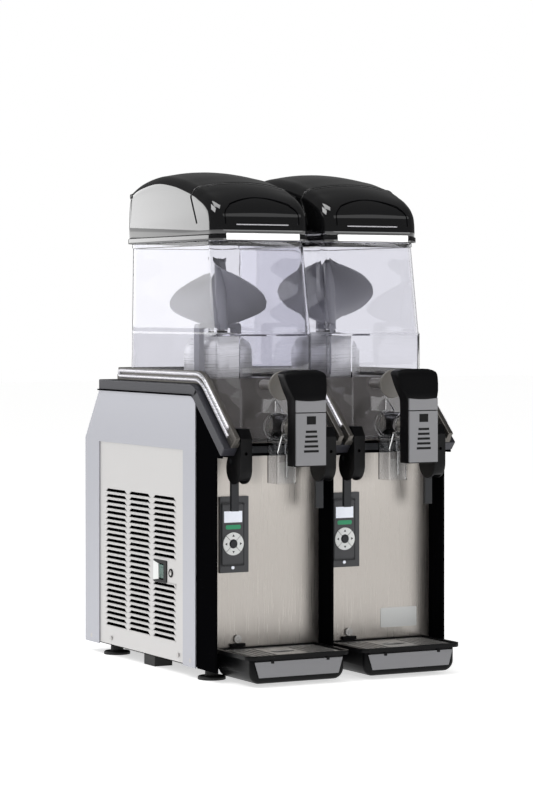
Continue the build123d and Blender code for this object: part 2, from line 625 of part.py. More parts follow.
def make_handle(cx):
    back, front = HANDLE_BACK_Y, HANDLE_FRONT_Y + 3
    side_view = ((back, HANDLE_LOW_Z), (front, HANDLE_LOW_Z), (front, HANDLE_KNEE_Z), (front + 17, HANDLE_TOP_Z),
                 (front + 36, HANDLE_TOP_Z), (back + 4, HANDLE_KNEE_Z + 4))
    with BuildPart() as handle:
        slab_x(side_view, (cx - HEAD_HALF, cx + HEAD_HALF))
        # Seen from the front: straight stem, flared head with an arched top
        with BuildSketch(Plane.XZ.offset(-back + 40)) as outline:
            Rectangle(200, 400)
            with BuildLine():
                head = (cx - HEAD_HALF, HANDLE_TOP_Z - 6)
                far = (cx + HEAD_HALF, HANDLE_TOP_Z - 6)
                Polyline(far, (cx + HANDLE_HALF, HANDLE_KNEE_Z - 2), (cx + HANDLE_HALF, HANDLE_LOW_Z),
                         (cx - HANDLE_HALF, HANDLE_LOW_Z), (cx - HANDLE_HALF, HANDLE_KNEE_Z - 2), head)
                ThreePointArc(head, (cx, HANDLE_TOP_Z), far)
            make_face()
        extrude(amount=-80, mode=Mode.INTERSECT)
        # Hollow back
        hollow = ((back + 10, HANDLE_LOW_Z - 5), (front + 3, HANDLE_LOW_Z - 5), (front + 3, HANDLE_KNEE_Z - 6),
                  (back + 10, HANDLE_KNEE_Z - 6))
        slab_x(hollow, (cx - HANDLE_HALF + 3, cx + HANDLE_HALF - 3), Mode.SUBTRACT)
        block((cx - 10, cx + 10), (front + 3, PIVOT_Y), (PIVOT_Z - 6, PIVOT_Z + 6))
        rod_x(PIVOT_Y, PIVOT_Z, 7, (cx - 10, cx + 10))
        rod_x(PIVOT_Y, PIVOT_Z, PIN_R + 0.02, (cx - 12, cx + 12), Mode.SUBTRACT)
    return handle.part


def make_handle_plate(cx):
    with BuildPart() as plate:
        block((cx - HANDLE_HALF + 0.4, cx + HANDLE_HALF - 0.4), (HANDLE_FRONT_Y, HANDLE_FRONT_Y + 3),
              (HANDLE_LOW_Z + 1.5, HANDLE_KNEE_Z - 2))
        block((cx - 30, cx + 30), (HANDLE_FRONT_Y - 1, HANDLE_FRONT_Y + 0.8), (398.4, 399.6), Mode.SUBTRACT)
        for step in range(5):
            half = 7.5 + 0.9 * step
            z = 385.5 - 6.6 * step
            block((cx - half, cx + half), (HANDLE_FRONT_Y - 1, HANDLE_FRONT_Y + 1), (z - 1.6, z + 1.6), Mode.SUBTRACT)
    return plate.part


def make_pin(cx):
    with BuildPart() as pin:
        rod_x(PIVOT_Y, PIVOT_Z, PIN_R, (cx - 18, cx + 18))
    return pin.part


def make_latch(cx):
    with BuildPart() as latch:
        for side in (-1, 1):
            x = cx + side * EAR_X
            rod_x(LATCH_Y, LATCH_Z, 4, sorted((cx + side * 61.2, cx + side * 79.4)))
            arm = ((-185, 322), (-185, 331), (-171, 346), (-163, 346), (-163, 336), (-173, 320), (-173, 252),
                   (-179, 252), (-179, 318))
            slab_x(arm, (x - 6, x + 6))
        block((cx - 66, cx + 66), (-168, -163), (336, 346))
    return latch.part


def lid_dome(cx, inset):
    """Domed block of the lid, drawn inside by the inset."""
    half, low = LID_HALF - inset, LID_LOW_Z - (1 if inset else 0)
    levels = []
    for y, top in LID_ARCH:
        y = min(max(y, LID_FRONT_Y + inset), LID_REAR_Y - inset)
        top, bend = top - inset, LID_SHOULDER_R - inset
        with BuildSketch(Plane.XZ.offset(-y)) as level:
            with BuildLine():
                Polyline((cx - half, top - bend), (cx - half, low), (cx + half, low), (cx + half, top - bend))
                RadiusArc((cx - half, top - bend), (cx - half + bend, top), bend)
                Line((cx - half + bend, top), (cx + half - bend, top))
                RadiusArc((cx + half - bend, top), (cx + half, top - bend), bend)
            make_face()
        levels.append(level.sketch)
    with BuildPart() as dome:
        loft(levels)
        with BuildSketch(Plane.XY.offset(low)):
            with Locations((cx, (LID_FRONT_Y + LID_REAR_Y) / 2)):
                RectangleRounded(2 * half, LID_REAR_Y - LID_FRONT_Y - 2 * inset, LID_SHOULDER_R - inset)
        extrude(amount=150, mode=Mode.INTERSECT)
    return dome.part


def make_lid(cx):
    with BuildPart() as lid:
        add(lid_dome(cx, 0))
        block((cx - LID_HALF - 1.5, cx + LID_HALF + 1.5), (LID_FRONT_Y - 1.5, LID_REAR_Y + 1.5), (LID_LOW_Z, 659))
        add(lid_dome(cx, LID_WALL), mode=Mode.SUBTRACT)
        # Recess for the light strip
        block((cx - 62, cx + 62), (LID_FRONT_Y - 2, LID_FRONT_Y + 1.2), (652.4, 662.4), Mode.SUBTRACT)
    return lid.part


def make_light(cx):
    with BuildPart() as light:
        block((cx - 61.8, cx + 61.8), (LID_FRONT_Y - 1.2, LID_FRONT_Y + 1.2), (652.6, 662.2))
    return light.part


def make_button(cx):
    with BuildPart() as button:
        rod_y(cx + DIAL_X, DIAL_Z, BUTTON_R, (PANEL_Y - 8.2, PANEL_Y - 4.6))
        fillet(button.edges().group_by(Axis.Y)[0], 0.8)
    return button.part


def make_tray(cx):
    with BuildPart() as tray:
        block((cx - TRAY_HALF, cx + TRAY_HALF), (TRAY_FRONT_Y, TRAY_BACK_Y), (TRAY_LOW_Z, RIM_LOW_Z))
        corners = tray.edges().filter_by(Axis.Y).group_by(Axis.Z)[0]
        fillet(corners, 16)
        fillet(tray.edges().group_by(Axis.Z)[0].group_by(Axis.Y)[0], 8)
        with BuildSketch(Plane.XY.offset(RIM_LOW_Z)):
            with Locations((cx, (RIM_FRONT_Y + TRAY_BACK_Y) / 2)):
                Rectangle(2 * RIM_HALF, TRAY_BACK_Y - RIM_FRONT_Y)
        extrude(amount=RIM_HIGH_Z - RIM_LOW_Z)
        rim_corners = tray.edges().filter_by(Axis.Z).filter_by_position(Axis.Y, RIM_FRONT_Y - 1, RIM_FRONT_Y + 1)
        fillet(rim_corners, 14)
        block((cx - 75, cx + 75), (TRAY_FRONT_Y + 3, TRAY_BACK_Y - 3), (26, RIM_LOW_Z + 1), Mode.SUBTRACT)
        block((cx - 60, cx + 60), (TRAY_FRONT_Y + 12, TRAY_BACK_Y - 3), (8, 27), Mode.SUBTRACT)
        block((cx - 79, cx + 79), (TRAY_FRONT_Y - 2, TRAY_BACK_Y - 3), (RIM_LOW_Z, RIM_HIGH_Z + 1), Mode.SUBTRACT)
    return tray.part


def make_tray_plate(cx):
    with BuildPart() as plate:
        with BuildSketch(Plane.XZ.offset(-TRAY_FRONT_Y)):
            with BuildLine():
                Polyline((cx - 73, 37.5), (cx + 73, 37.5), (cx + 66, 14.5), (cx - 66, 14.5), close=True)
            make_face()
        extrude(amount=2)
    return plate.part


def make_grate(cx):
    with BuildPart() as grate:
        block((cx - 78.6, cx + 78.6), (TRAY_FRONT_Y - 1.6, TRAY_BACK_Y - 3.4), (RIM_LOW_Z + 0.1, RIM_LOW_Z + 3.6))
        middle_y = (TRAY_FRONT_Y + TRAY_BACK_Y - 5) / 2
        offsets = [side * (30 + 9.5 * step) for side in (-1, 1) for step in range(5)]
        with BuildSketch(Plane.XY.offset(RIM_LOW_Z)):
            with Locations([(cx + x, middle_y) for x in offsets]):
                SlotOverall(84, 5, rotation=90)
            with Locations((cx, middle_y)):
                Ellipse(19, 11)
        extrude(amount=5, mode=Mode.SUBTRACT)
    return grate.part


MAKERS = (("bowl_seat", make_seat), ("drive_shaft", make_shaft), ("bowl", make_bowl), ("tap_body", make_tap),
          ("piston", make_piston), ("bowl_plug", make_plug), ("handle", make_handle),
          ("handle_plate", make_handle_plate), ("handle_pin", make_pin), ("latch_bail", make_latch),
          ("lid", make_lid), ("lid_light", make_light), ("button", make_button), ("tray", make_tray),
          ("tray_plate", make_tray_plate), ("grate", make_grate))
AUGER_TURNS = {"left": -128.0, "right": -98.0}
for name, cx in SIDES:
    for piece, maker in MAKERS:
        save(maker(cx), f"{piece}_{name}")
    save(make_auger(cx, AUGER_TURNS[name]), f"auger_{name}")
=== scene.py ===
from math import cos, pi, radians, sin, tan

import bpy
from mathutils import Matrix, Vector


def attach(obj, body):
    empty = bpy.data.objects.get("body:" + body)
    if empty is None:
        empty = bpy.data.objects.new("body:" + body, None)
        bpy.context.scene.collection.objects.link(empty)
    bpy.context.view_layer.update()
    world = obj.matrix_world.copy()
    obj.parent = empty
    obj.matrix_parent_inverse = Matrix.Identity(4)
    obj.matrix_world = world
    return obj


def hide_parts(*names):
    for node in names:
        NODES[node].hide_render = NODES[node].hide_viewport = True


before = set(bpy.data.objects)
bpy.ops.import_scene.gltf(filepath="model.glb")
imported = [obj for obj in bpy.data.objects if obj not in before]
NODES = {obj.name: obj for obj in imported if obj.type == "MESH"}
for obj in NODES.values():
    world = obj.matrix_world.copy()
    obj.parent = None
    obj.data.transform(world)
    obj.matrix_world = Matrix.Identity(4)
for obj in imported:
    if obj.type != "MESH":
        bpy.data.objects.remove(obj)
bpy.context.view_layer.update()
MM = 0.001
SIDES = (("left", -95.0), ("right", 95.0))
scene = bpy.context.scene
AUGER_TURN = {"left": -128.0, "right": -98.0}  # degrees at rest
SKY, SKY_SEEN, SKY_MIRRORED = 0.50, 0.50, 0.40  # world strength, added where seen, taken off in mirrors
FLOOR_GLOW = 0.60


# ---------------------------------------------------------------- mesh helpers (millimetres)
def add_mesh(name, verts, faces, material, body, hides=(), sharp=32, materials=None, face_slots=None):
    """Mesh piece from points in millimetres; it rides on a body and may stand for CAD nodes."""
    mesh = bpy.data.meshes.new(name)
    mesh.from_pydata([(x * MM, y * MM, z * MM) for x, y, z in verts], [], faces)
    for one in materials or [material]:
        mesh.materials.append(one)
    if face_slots:
        mesh.polygons.foreach_set("material_index", face_slots)
    mesh.validate()
    mesh.update()
    mesh.polygons.foreach_set("use_smooth", [True] * len(mesh.polygons))
    mesh.set_sharp_from_angle(angle=radians(sharp))
    piece = bpy.data.objects.new(name, mesh)
    scene.collection.objects.link(piece)
    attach(piece, body)
    if hides:
        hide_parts(*hides)
    return piece


def ring_faces(gaps, size, rings=None):
    """Four-sided faces between rings of points; with rings given, the last joins the first."""
    rings = rings or gaps + 1
    return [(i * size + k, i * size + (k + 1) % size, (i + 1) % rings * size + (k + 1) % size,
             (i + 1) % rings * size + k) for i in range(gaps) for k in range(size)]


def recalc(piece):
    """Turns every face of a closed mesh outwards."""
    import bmesh
    work = bmesh.new()
    work.from_mesh(piece.data)
    bmesh.ops.remove_doubles(work, verts=work.verts, dist=1e-6)
    bmesh.ops.recalc_face_normals(work, faces=work.faces)
    work.to_mesh(piece.data)
    work.free()
    piece.data.polygons.foreach_set("use_smooth", [True] * len(piece.data.polygons))
    piece.data.set_sharp_from_angle(angle=radians(32))


def bevel(piece, width, segments=3, angle=30):
    """Rounds the edges of a piece and keeps its flat faces flat."""
    mod = piece.modifiers.new("edge", "BEVEL")
    mod.width = width * MM
    mod.segments = segments
    mod.limit_method = "ANGLE"
    mod.angle_limit = radians(angle)
    mod.harden_normals = True
    return piece


def dress(node, material, width=0.5, segments=2):
    """Gives a CAD node its material, and soft edges by modifiers that leave its mesh alone."""
    piece = NODES[node]
    if not piece.data.materials:
        piece.data.materials.append(material)
    for index in range(len(piece.material_slots)):
        piece.material_slots[index].material = material
    if width:
        weld = piece.modifiers.new("weld", "WELD")
        weld.merge_threshold = 0.00002
        bevel(piece, width, segments, 35)
    return piece


class Solid:
    """Collects closed boxes, prisms and turned shapes into one mesh."""

    def __init__(self):
        self.verts, self.faces, self.slots = [], [], []

    def add(self, verts, faces, slot=0):
        base = len(self.verts)
        self.verts += verts
        self.faces += [tuple(base + i for i in face) for face in faces]
        self.slots += [slot] * len(faces)

    def box(self, x, y, z, slot=0):
        verts = [(a, b, c) for c in z for b in y for a in x]
        faces = [(0, 2, 3, 1), (4, 5, 7, 6), (0, 1, 5, 4), (2, 6, 7, 3), (0, 4, 6, 2), (1, 3, 7, 5)]
        self.add(verts, faces, slot)

    def prism(self, outline, low, high, place, slot=0):
        """Straight prism: place(u, v, w) puts outline point (u, v) at depth w."""
        count = len(outline)
        verts = [place(u, v, low) for u, v in outline] + [place(u, v, high) for u, v in outline]
        faces = [tuple(range(count))[::-1], tuple(range(count, 2 * count))]
        faces += [(i, (i + 1) % count, (i + 1) % count + count, i + count) for i in range(count)]
        self.add(verts, faces, slot)

    def turn(self, profile, place, steps=48, slot=0):
        """Turned shape: profile of (radius, depth); place(u, v, w) sets it in the frame."""
        rings = [[place(r * cos(2 * pi * k / steps), r * sin(2 * pi * k / steps), w) for k in range(steps)]
                 for r, w in profile]
        verts = [p for ring in rings for p in ring]
        faces = []
        for i in range(len(rings) - 1):
            for k in range(steps):
                n = (k + 1) % steps
                faces.append((i * steps + k, i * steps + n, (i + 1) * steps + n, (i + 1) * steps + k))
        faces.append(tuple(range(steps))[::-1])
        last = (len(rings) - 1) * steps
        faces.append(tuple(range(last, last + steps)))
        self.add(verts, faces, slot)

    def make(self, name, material, body, hides=(), width=0.0, segments=2, materials=None, sharp=32):
        piece = add_mesh(name, self.verts, self.faces, material, body, hides, sharp, materials, self.slots)
        recalc(piece)
        if width:
            bevel(piece, width, segments)
        return piece


def along_x(u, v, w):
    return (w, u, v)


def along_y(u, v, w):
    return (u, w, v)


def at(cx, cy, cz, axis):
    """Placer for a turned shape about an axis through a point."""
    if axis == "x":
        return lambda u, v, w: (cx + w, cy + u, cz + v)
    if axis == "y":
        return lambda u, v, w: (cx + u, cy + w, cz + v)
    return lambda u, v, w: (cx + u, cy + v, cz + w)


def rounded(points, radius, steps=6):
    """Closed outline with every corner rounded; radius is one number or one for each corner."""
    count = len(points)
    radii = radius if isinstance(radius, (list, tuple)) else [radius] * count
    result = []
    for i, point in enumerate(points):
        before, here, after = Vector(points[i - 1]), Vector(point), Vector(points[(i + 1) % count])
        a, b = (before - here), (after - here)
        turn = a.angle(b)
        reach = min(radii[i] / tan(turn / 2), a.length * 0.49, b.length * 0.49) if radii[i] else 0
        if reach < 1e-4:
            result.append(tuple(here))
            continue
        a.normalize()
        b.normalize()
        r = reach * tan(turn / 2)
        centre = here + (a + b).normalized() * (r / sin(turn / 2))
        start = (here + a * reach) - centre
        end = (here + b * reach) - centre
        sweep = pi - turn
        sign = 1 if start.x * end.y - start.y * end.x > 0 else -1
        for k in range(steps + 1):
            angle = sign * sweep * k / steps
            result.append((centre.x + start.x * cos(angle) - start.y * sin(angle),
                           centre.y + start.x * sin(angle) + start.y * cos(angle)))
    return result


def smooth_line(points, steps):
    """Catmull-Rom curve through points."""
    result = []
    for i in range(len(points) - 1):
        p0 = points[max(i - 1, 0)]
        p1, p2 = points[i], points[i + 1]
        p3 = points[min(i + 2, len(points) - 1)]
        for k in range(steps):
            t = k / steps
            result.append(tuple(0.5 * (2 * b + (c - a) * t + (2 * a - 5 * b + 4 * c - d) * t * t
                                       + (3 * b - a - 3 * c + d) * t ** 3)
                                for a, b, c, d in zip(p0, p1, p2, p3)))
    result.append(tuple(points[-1]))
    return result


def tube(name, points, radius, material, body, resolution=4):
    """Round bar or raised line along points in millimetres."""
    curve = bpy.data.curves.new(name, "CURVE")
    curve.dimensions = "3D"
    curve.bevel_depth = radius * MM
    curve.bevel_resolution = resolution
    curve.use_fill_caps = True
    spline = curve.splines.new("POLY")
    spline.points.add(len(points) - 1)
    for target, point in zip(spline.points, points):
        target.co = (point[0] * MM, point[1] * MM, point[2] * MM, 1)
    curve.materials.append(material)
    piece = bpy.data.objects.new(name, curve)
    scene.collection.objects.link(piece)
    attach(piece, body)
    return piece


# ---------------------------------------------------------------- materials
def new_material(name, color, metallic=0.0, roughness=0.5, **sockets):
    """Principled material with its uniform values on its own sockets."""
    material = bpy.data.materials.new(name)
    material.use_nodes = True
    shader = material.node_tree.nodes["Principled BSDF"]
    shader.inputs["Base Color"].default_value = (*color, 1)
    shader.inputs["Metallic"].default_value = metallic
    shader.inputs["Roughness"].default_value = roughness
    for socket, value in sockets.items():
        shader.inputs[socket.replace("_", " ")].default_value = value
    material.diffuse_color = (*color, 1)
    return material


def grain(material, scale, strength, distance=0.0002, stretch=(1, 1, 1), tint=0.0, rough=0.0, detail=4.0):
    """Noise in object space: bump, and if asked a change in colour and roughness."""
    tree = material.node_tree
    shader = tree.nodes["Principled BSDF"]
    coord = tree.nodes.new("ShaderNodeTexCoord")
    mapping = tree.nodes.new("ShaderNodeMapping")
    mapping.inputs["Scale"].default_value = stretch
    noise = tree.nodes.new("ShaderNodeTexNoise")
    noise.inputs["Scale"].default_value = scale
    noise.inputs["Detail"].default_value = detail
    tree.links.new(coord.outputs["Object"], mapping.inputs["Vector"])
    tree.links.new(mapping.outputs["Vector"], noise.inputs["Vector"])
    if strength:
        bump = tree.nodes.new("ShaderNodeBump")
        bump.inputs["Strength"].default_value = strength
        bump.inputs["Distance"].default_value = distance
        tree.links.new(noise.outputs["Fac"], bump.inputs["Height"])
        tree.links.new(bump.outputs["Normal"], shader.inputs["Normal"])
    if tint:
        base = shader.inputs["Base Color"].default_value[:3]
        ramp = tree.nodes.new("ShaderNodeMix")
        ramp.data_type = "RGBA"
        ramp.inputs["A"].default_value = (*[c * (1 - tint) for c in base], 1)
        ramp.inputs["B"].default_value = (*[min(1, c * (1 + tint)) for c in base], 1)
        tree.links.new(noise.outputs["Fac"], ramp.inputs["Factor"])
        tree.links.new(ramp.outputs["Result"], shader.inputs["Base Color"])
    if rough:
        value = shader.inputs["Roughness"].default_value
        span = tree.nodes.new("ShaderNodeMapRange")
        span.inputs["From Min"].default_value = 0.3
        span.inputs["From Max"].default_value = 0.7
        span.inputs["To Min"].default_value = max(0.0, value - rough)
        span.inputs["To Max"].default_value = min(1.0, value + rough)
        tree.links.new(noise.outputs["Fac"], span.inputs["Value"])
        tree.links.new(span.outputs["Result"], shader.inputs["Roughness"])
    return material


def clear(name, color, roughness, ior=1.46, tint=(1, 1, 1)):
    """Clear moulded plastic that lets light through to what is inside."""
    material = new_material(name, color, 0.0, roughness, Transmission_Weight=1.0, IOR=ior)
    tree = material.node_tree
    shader = tree.nodes["Principled BSDF"]
    output = tree.nodes["Material Output"]
    path = tree.nodes.new("ShaderNodeLightPath")
    through = tree.nodes.new("ShaderNodeBsdfTransparent")
    through.inputs["Color"].default_value = (*tint, 1)
    mix = tree.nodes.new("ShaderNodeMixShader")
    tree.links.new(path.outputs["Is Shadow Ray"], mix.inputs["Fac"])
    tree.links.new(shader.outputs["BSDF"], mix.inputs[1])
    tree.links.new(through.outputs["BSDF"], mix.inputs[2])
    tree.links.new(mix.outputs["Shader"], output.inputs["Surface"])
    return material


VERTICAL = (1.0, 1.0, 0.012)
ALONG_Y = (1.0, 0.012, 1.0)
silver = grain(new_material("silver_paint", (0.43, 0.435, 0.475), 0.45, 0.38), 900, 0.05, 0.0001,
               (1, 1, 0.05), 0.03, 0.05)
louvre_steel = grain(new_material("brushed_side", (0.57, 0.56, 0.555), 0.45, 0.40), 1400, 0.10, 0.0001,
                     VERTICAL, 0.06, 0.07)
front_steel = grain(new_material("brushed_front", (0.47, 0.44, 0.41), 1.0, 0.33), 1600, 0.16, 0.0001,
                    VERTICAL, 0.10, 0.08)
seat_steel = grain(new_material("brushed_seat", (0.115, 0.107, 0.098), 0.8, 0.38), 1400, 0.12, 0.0001,
                   (1, 0.02, 1), 0.08, 0.07)
grate_steel = grain(new_material("grate_steel", (0.58, 0.57, 0.555), 0.75, 0.32), 1500, 0.10, 0.0001,
                    ALONG_Y, 0.08, 0.06)
cylinder_steel = grain(new_material("cylinder_steel", (0.82, 0.82, 0.83), 0.35, 0.30), 900, 0.08, 0.0001,
                       (0.02, 0.02, 1), 0.05, 0.06)
black = grain(new_material("black_plastic", (0.0035, 0.0035, 0.004), 0.0, 0.36,
                           Specular_IOR_Level=0.12), 2600, 0.12, 0.0001, rough=0.05)
black_frame = grain(new_material("black_frame", (0.002, 0.002, 0.0024), 0.0, 0.50, Specular_IOR_Level=0.0),
                    2200, 0.10, 0.0001, rough=0.05)
gloss = grain(new_material("gloss_black", (0.0045, 0.0045, 0.005), 0.0, 0.07, Coat_Weight=1.0,
                           Coat_Roughness=0.03),
              60, 0.02, 0.0002, rough=0.02)
face_grey = grain(new_material("face_grey", (0.205, 0.205, 0.215), 0.2, 0.40), 2400, 0.07, 0.0001, tint=0.04,
                  rough=0.05)
deck_grey = grain(new_material("deck_grey", (0.026, 0.026, 0.034), 0.3, 0.38), 900, 0.06, 0.0001,
                  (1, 0.03, 1), 0.06, 0.05)
rail_grey = grain(new_material("rail_grey", (0.60, 0.59, 0.625), 0.5, 0.28), 700, 0.05, 0.0001,
                  (1, 0.04, 1), 0.05, 0.05)
panel_grey = grain(new_material("panel_grey", (0.040, 0.041, 0.046), 0.0, 0.42), 2200, 0.10, 0.0001, tint=0.06,
                   rough=0.05)
dark_grey = grain(new_material("dark_grey", (0.018, 0.019, 0.022), 0.0, 0.36, Specular_IOR_Level=0.3),
                  2200, 0.10, 0.0001, rough=0.05)
auger_grey = grain(new_material("auger_grey", (0.30, 0.30, 0.335), 0.0, 0.42), 260, 0.05,
                   0.0002, tint=0.04, rough=0.06)
knob_grey = grain(new_material("knob_grey", (0.24, 0.225, 0.205), 0.0, 0.36, Transmission_Weight=0.35),
                  700, 0.08, 0.0002, tint=0.08, rough=0.06)
bowl_clear = grain(clear("bowl_clear", (0.868, 0.867, 0.908), 0.015), 26, 0.22, 0.0012, (1, 1, 0.05))
# Painted shade: near-black for the beads that stand for the dark silhouette edges of the clear bowls
painted_edge_shade = grain(new_material("painted_edge_dark", (0.012, 0.014, 0.011), 0.0, 0.30), 900, 0.05, 0.0001, rough=0.05)
tap_clear = grain(clear("tap_clear", (0.87, 0.875, 0.885), 0.02), 40, 0.06, 0.0004)
rubber = grain(new_material("rubber", (0.012, 0.012, 0.012), 0.0, 0.62), 1500, 0.2, 0.0001, rough=0.08)
white_strip = grain(new_material("white_strip", (0.88, 0.88, 0.87), 0.0, 0.22, Emission_Strength=0.35,
                                 Emission_Color=(1, 1, 1, 1)), 900, 0.04, 0.0001, tint=0.02)
white = grain(new_material("white_ink", (0.74, 0.75, 0.74), 0.0, 0.36), 1200, 0.05, 0.0001, tint=0.03)
lcd = grain(new_material("display", (0.80, 0.83, 0.90), 0.0, 0.12, Coat_Weight=0.5,
                         Emission_Color=(0.85, 0.88, 1, 1), Emission_Strength=0.16),
            200, 0.02, 0.0001, tint=0.04)
green = grain(new_material("green", (0.015, 0.30, 0.13), 0.0, 0.30), 900, 0.05, 0.0001, tint=0.05)
rocker_green = grain(new_material("rocker_green", (0.006, 0.10, 0.07), 0.0, 0.20, Transmission_Weight=0.3), 900,
                     0.05, 0.0001, tint=0.06)
metal = grain(new_material("screw_metal", (0.46, 0.45, 0.44), 1.0, 0.30), 1200, 0.08, 0.0001, rough=0.06)
dark_metal = grain(new_material("dark_metal", (0.05, 0.05, 0.05), 0.9, 0.40), 1200, 0.08, 0.0001, rough=0.06)
copper = grain(new_material("copper", (0.62, 0.30, 0.18), 1.0, 0.30), 600, 0.08, 0.0001, tint=0.08, rough=0.06)
fins = grain(new_material("fins", (0.20, 0.20, 0.205), 1.0, 0.42), 900, 0.10, 0.0001, tint=0.05, rough=0.06)


# ---------------------------------------------------------------- housing
def housing():
    for node, material, width in (
            ("rear_panel", silver, 0.3), ("base_pan", black_frame, 0.5), ("front_frame", black_frame, 0.8),
            ("top_deck", deck_grey, 1.5), ("front_panels", front_steel, 0.4), ("feet", rubber, 1.0),
            ("power_inlet", black, 0.5), ("compressor", gloss, 1.5), ("condenser", fins, 0.3),
            ("fan_motor", dark_metal, 0.5), ("fan_blade", black, 0.4), ("refrigerant_pipes", copper, 0),
            ("gearmotors", dark_metal, 1.5), ("evaporators", cylinder_steel, 0.5), ("shaft_seals", rubber, 0.4),
            ("panel_screws", metal, 0.5), ("latch_ears", black, 1.4), ("bowl_gaskets", rubber, 0.3),
            ("tray_hooks", black, 0.5), ("control_plates", panel_grey, 0.8), ("display_windows", lcd, 0.2),
            ("keypad_rings", white, 0.2),
            ("side_panels", silver, 0)):
        dress(node, material, width)
    for name, _ in SIDES:
        for node, material, width in (
                ("bowl_seat_", seat_steel, 1.0), ("drive_shaft_", metal, 0.4), ("latch_bail_", dark_grey, 0.9),
                ("tray_", black, 1.0), ("tray_plate_", face_grey, 0.4), ("grate_", grate_steel, 0.4),
                ("handle_pin_", metal, 0.3), ("button_", dark_grey, 0.3)):
            dress(node + name, material, width)


# ---------------------------------------------------------------- louvred side sheets
LOUVRE_COLUMNS = ((205.9, 128.6), (119.8, 43.8), (33.0, -45.3))
LOUVRE_ROWS, LOUVRE_PITCH, LOUVRE_TOP = 25, 8.8, 262.0


def louvre_sheet(side):
    """Thin sheet with three columns of pressed louvres, each a slot over a raised lip."""
    outer = side * 198.1
    verts, faces = [], []

    def point(y, z, out=0.0):
        verts.append((outer + side * out, y, z))
        return len(verts) - 1

    def quad(a, b, c, d):
        faces.append((a, b, c, d) if side < 0 else (d, c, b, a))

    def plain(y_high, y_low, z_high, z_low):
        quad(point(y_high, z_high), point(y_high, z_low), point(y_low, z_low), point(y_low, z_high))

    half = LOUVRE_PITCH / 2
    top, bottom = LOUVRE_TOP + half, LOUVRE_TOP - LOUVRE_PITCH * (LOUVRE_ROWS - 1) - half
    left, right = 238.0, -83.0
    plain(left, right, 340.0, top)
    plain(left, right, bottom, 19.0)
    edges = [left]
    for y_high, y_low in LOUVRE_COLUMNS:
        edges += [y_high + 1.5, y_low - 1.5]
    edges.append(right)
    for k in range(0, len(edges), 2):
        plain(edges[k], edges[k + 1], top, bottom)
    for column, (y_high, y_low) in enumerate(LOUVRE_COLUMNS):
        for row in range(LOUVRE_ROWS):
            z = LOUVRE_TOP - LOUVRE_PITCH * row
            if column == 2 and row in range(11, 15):
                if row == 11:
                    blank_top = z + half
                if row == 14:
                    if side < 0:
                        low, high = 132.6, 167.4
                        plain(y_high + 1.5, y_low - 1.5, blank_top, high)
                        plain(y_high + 1.5, 30.4, high, low)
                        plain(-16.4, y_low - 1.5, high, low)
                        plain(y_high + 1.5, y_low - 1.5, low, z - half)
                    else:
                        plain(y_high + 1.5, y_low - 1.5, blank_top, z - half)
                continue
            y0, y1 = y_high + 1.5, y_low - 1.5
            a, b = point(y0, z + half), point(y0, z - half)
            c, d = point(y1, z - half), point(y1, z + half)
            ta, tb = point(y_high - 7, z + 2.9), point(y_low + 7, z + 2.9)
            la, lb = point(y_high - 0.5, z - 2.0, 1.5), point(y_low + 0.5, z - 2.0, 1.5)
            fa, fb = point(y_high, z - 3.9), point(y_low, z - 3.9)
            ea, eb = point(y_high, z - 2.3), point(y_low, z - 2.3)
            quad(a, ta, tb, d)
            quad(a, b, ea, ta)
            faces.append((b, fa, ea) if side < 0 else (ea, fa, b))
            quad(b, c, fb, fa)
            faces.append((c, eb, fb) if side < 0 else (fb, eb, c))
            quad(d, tb, eb, c)
            quad(fa, fb, lb, la)
            faces.append((ea, fa, la) if side < 0 else (la, fa, ea))
            faces.append((fb, eb, lb) if side < 0 else (lb, eb, fb))
    return verts, faces


def louvres():
    verts, faces = [], []
    for side in (-1, 1):
        more, new = louvre_sheet(side)
        base = len(verts)
        verts += more
        faces += [tuple(base + i for i in face) for face in new]
    piece = add_mesh("louvre_sheets", verts, faces, louvre_steel, "housing", ("louvre_panels",), 4)
    weld = piece.modifiers.new("weld", "WELD")
    weld.merge_threshold = 0.00002
    piece.data.polygons.foreach_set("use_smooth", [False] * len(piece.data.polygons))
    thick = piece.modifiers.new("sheet", "SOLIDIFY")
    thick.thickness = 1.0 * MM
    thick.offset = -1
    thick.use_even_offset = False


def air_filters():
    """Dark filter screens behind the louvres, each a framed mesh of bars."""
    for side, label in ((-1, "left"), (1, "right")):
        screen = Solid()
        inner, outer = sorted((side * 188.0, side * 190.0))
        screen.box((inner, outer), (-78, 234), (20, 300))
        for y in range(-70, 231, 12):
            near, far = sorted((side * 190.0, side * 191.2))
            screen.box((near, far), (y, y + 1.6), (24, 296))
        screen.make(f"air_filter_{label}", black_frame, "housing")
        liner = Solid()
        inner, outer = sorted((side * 184.0, side * 189.0))
        liner.prism([(-113.5, 22), (-84, 22), (-84, 336), (-113.5, 336)], inner, outer, along_x)
        liner.make(f"column_liner_{label}", black_frame, "housing", width=0.4)


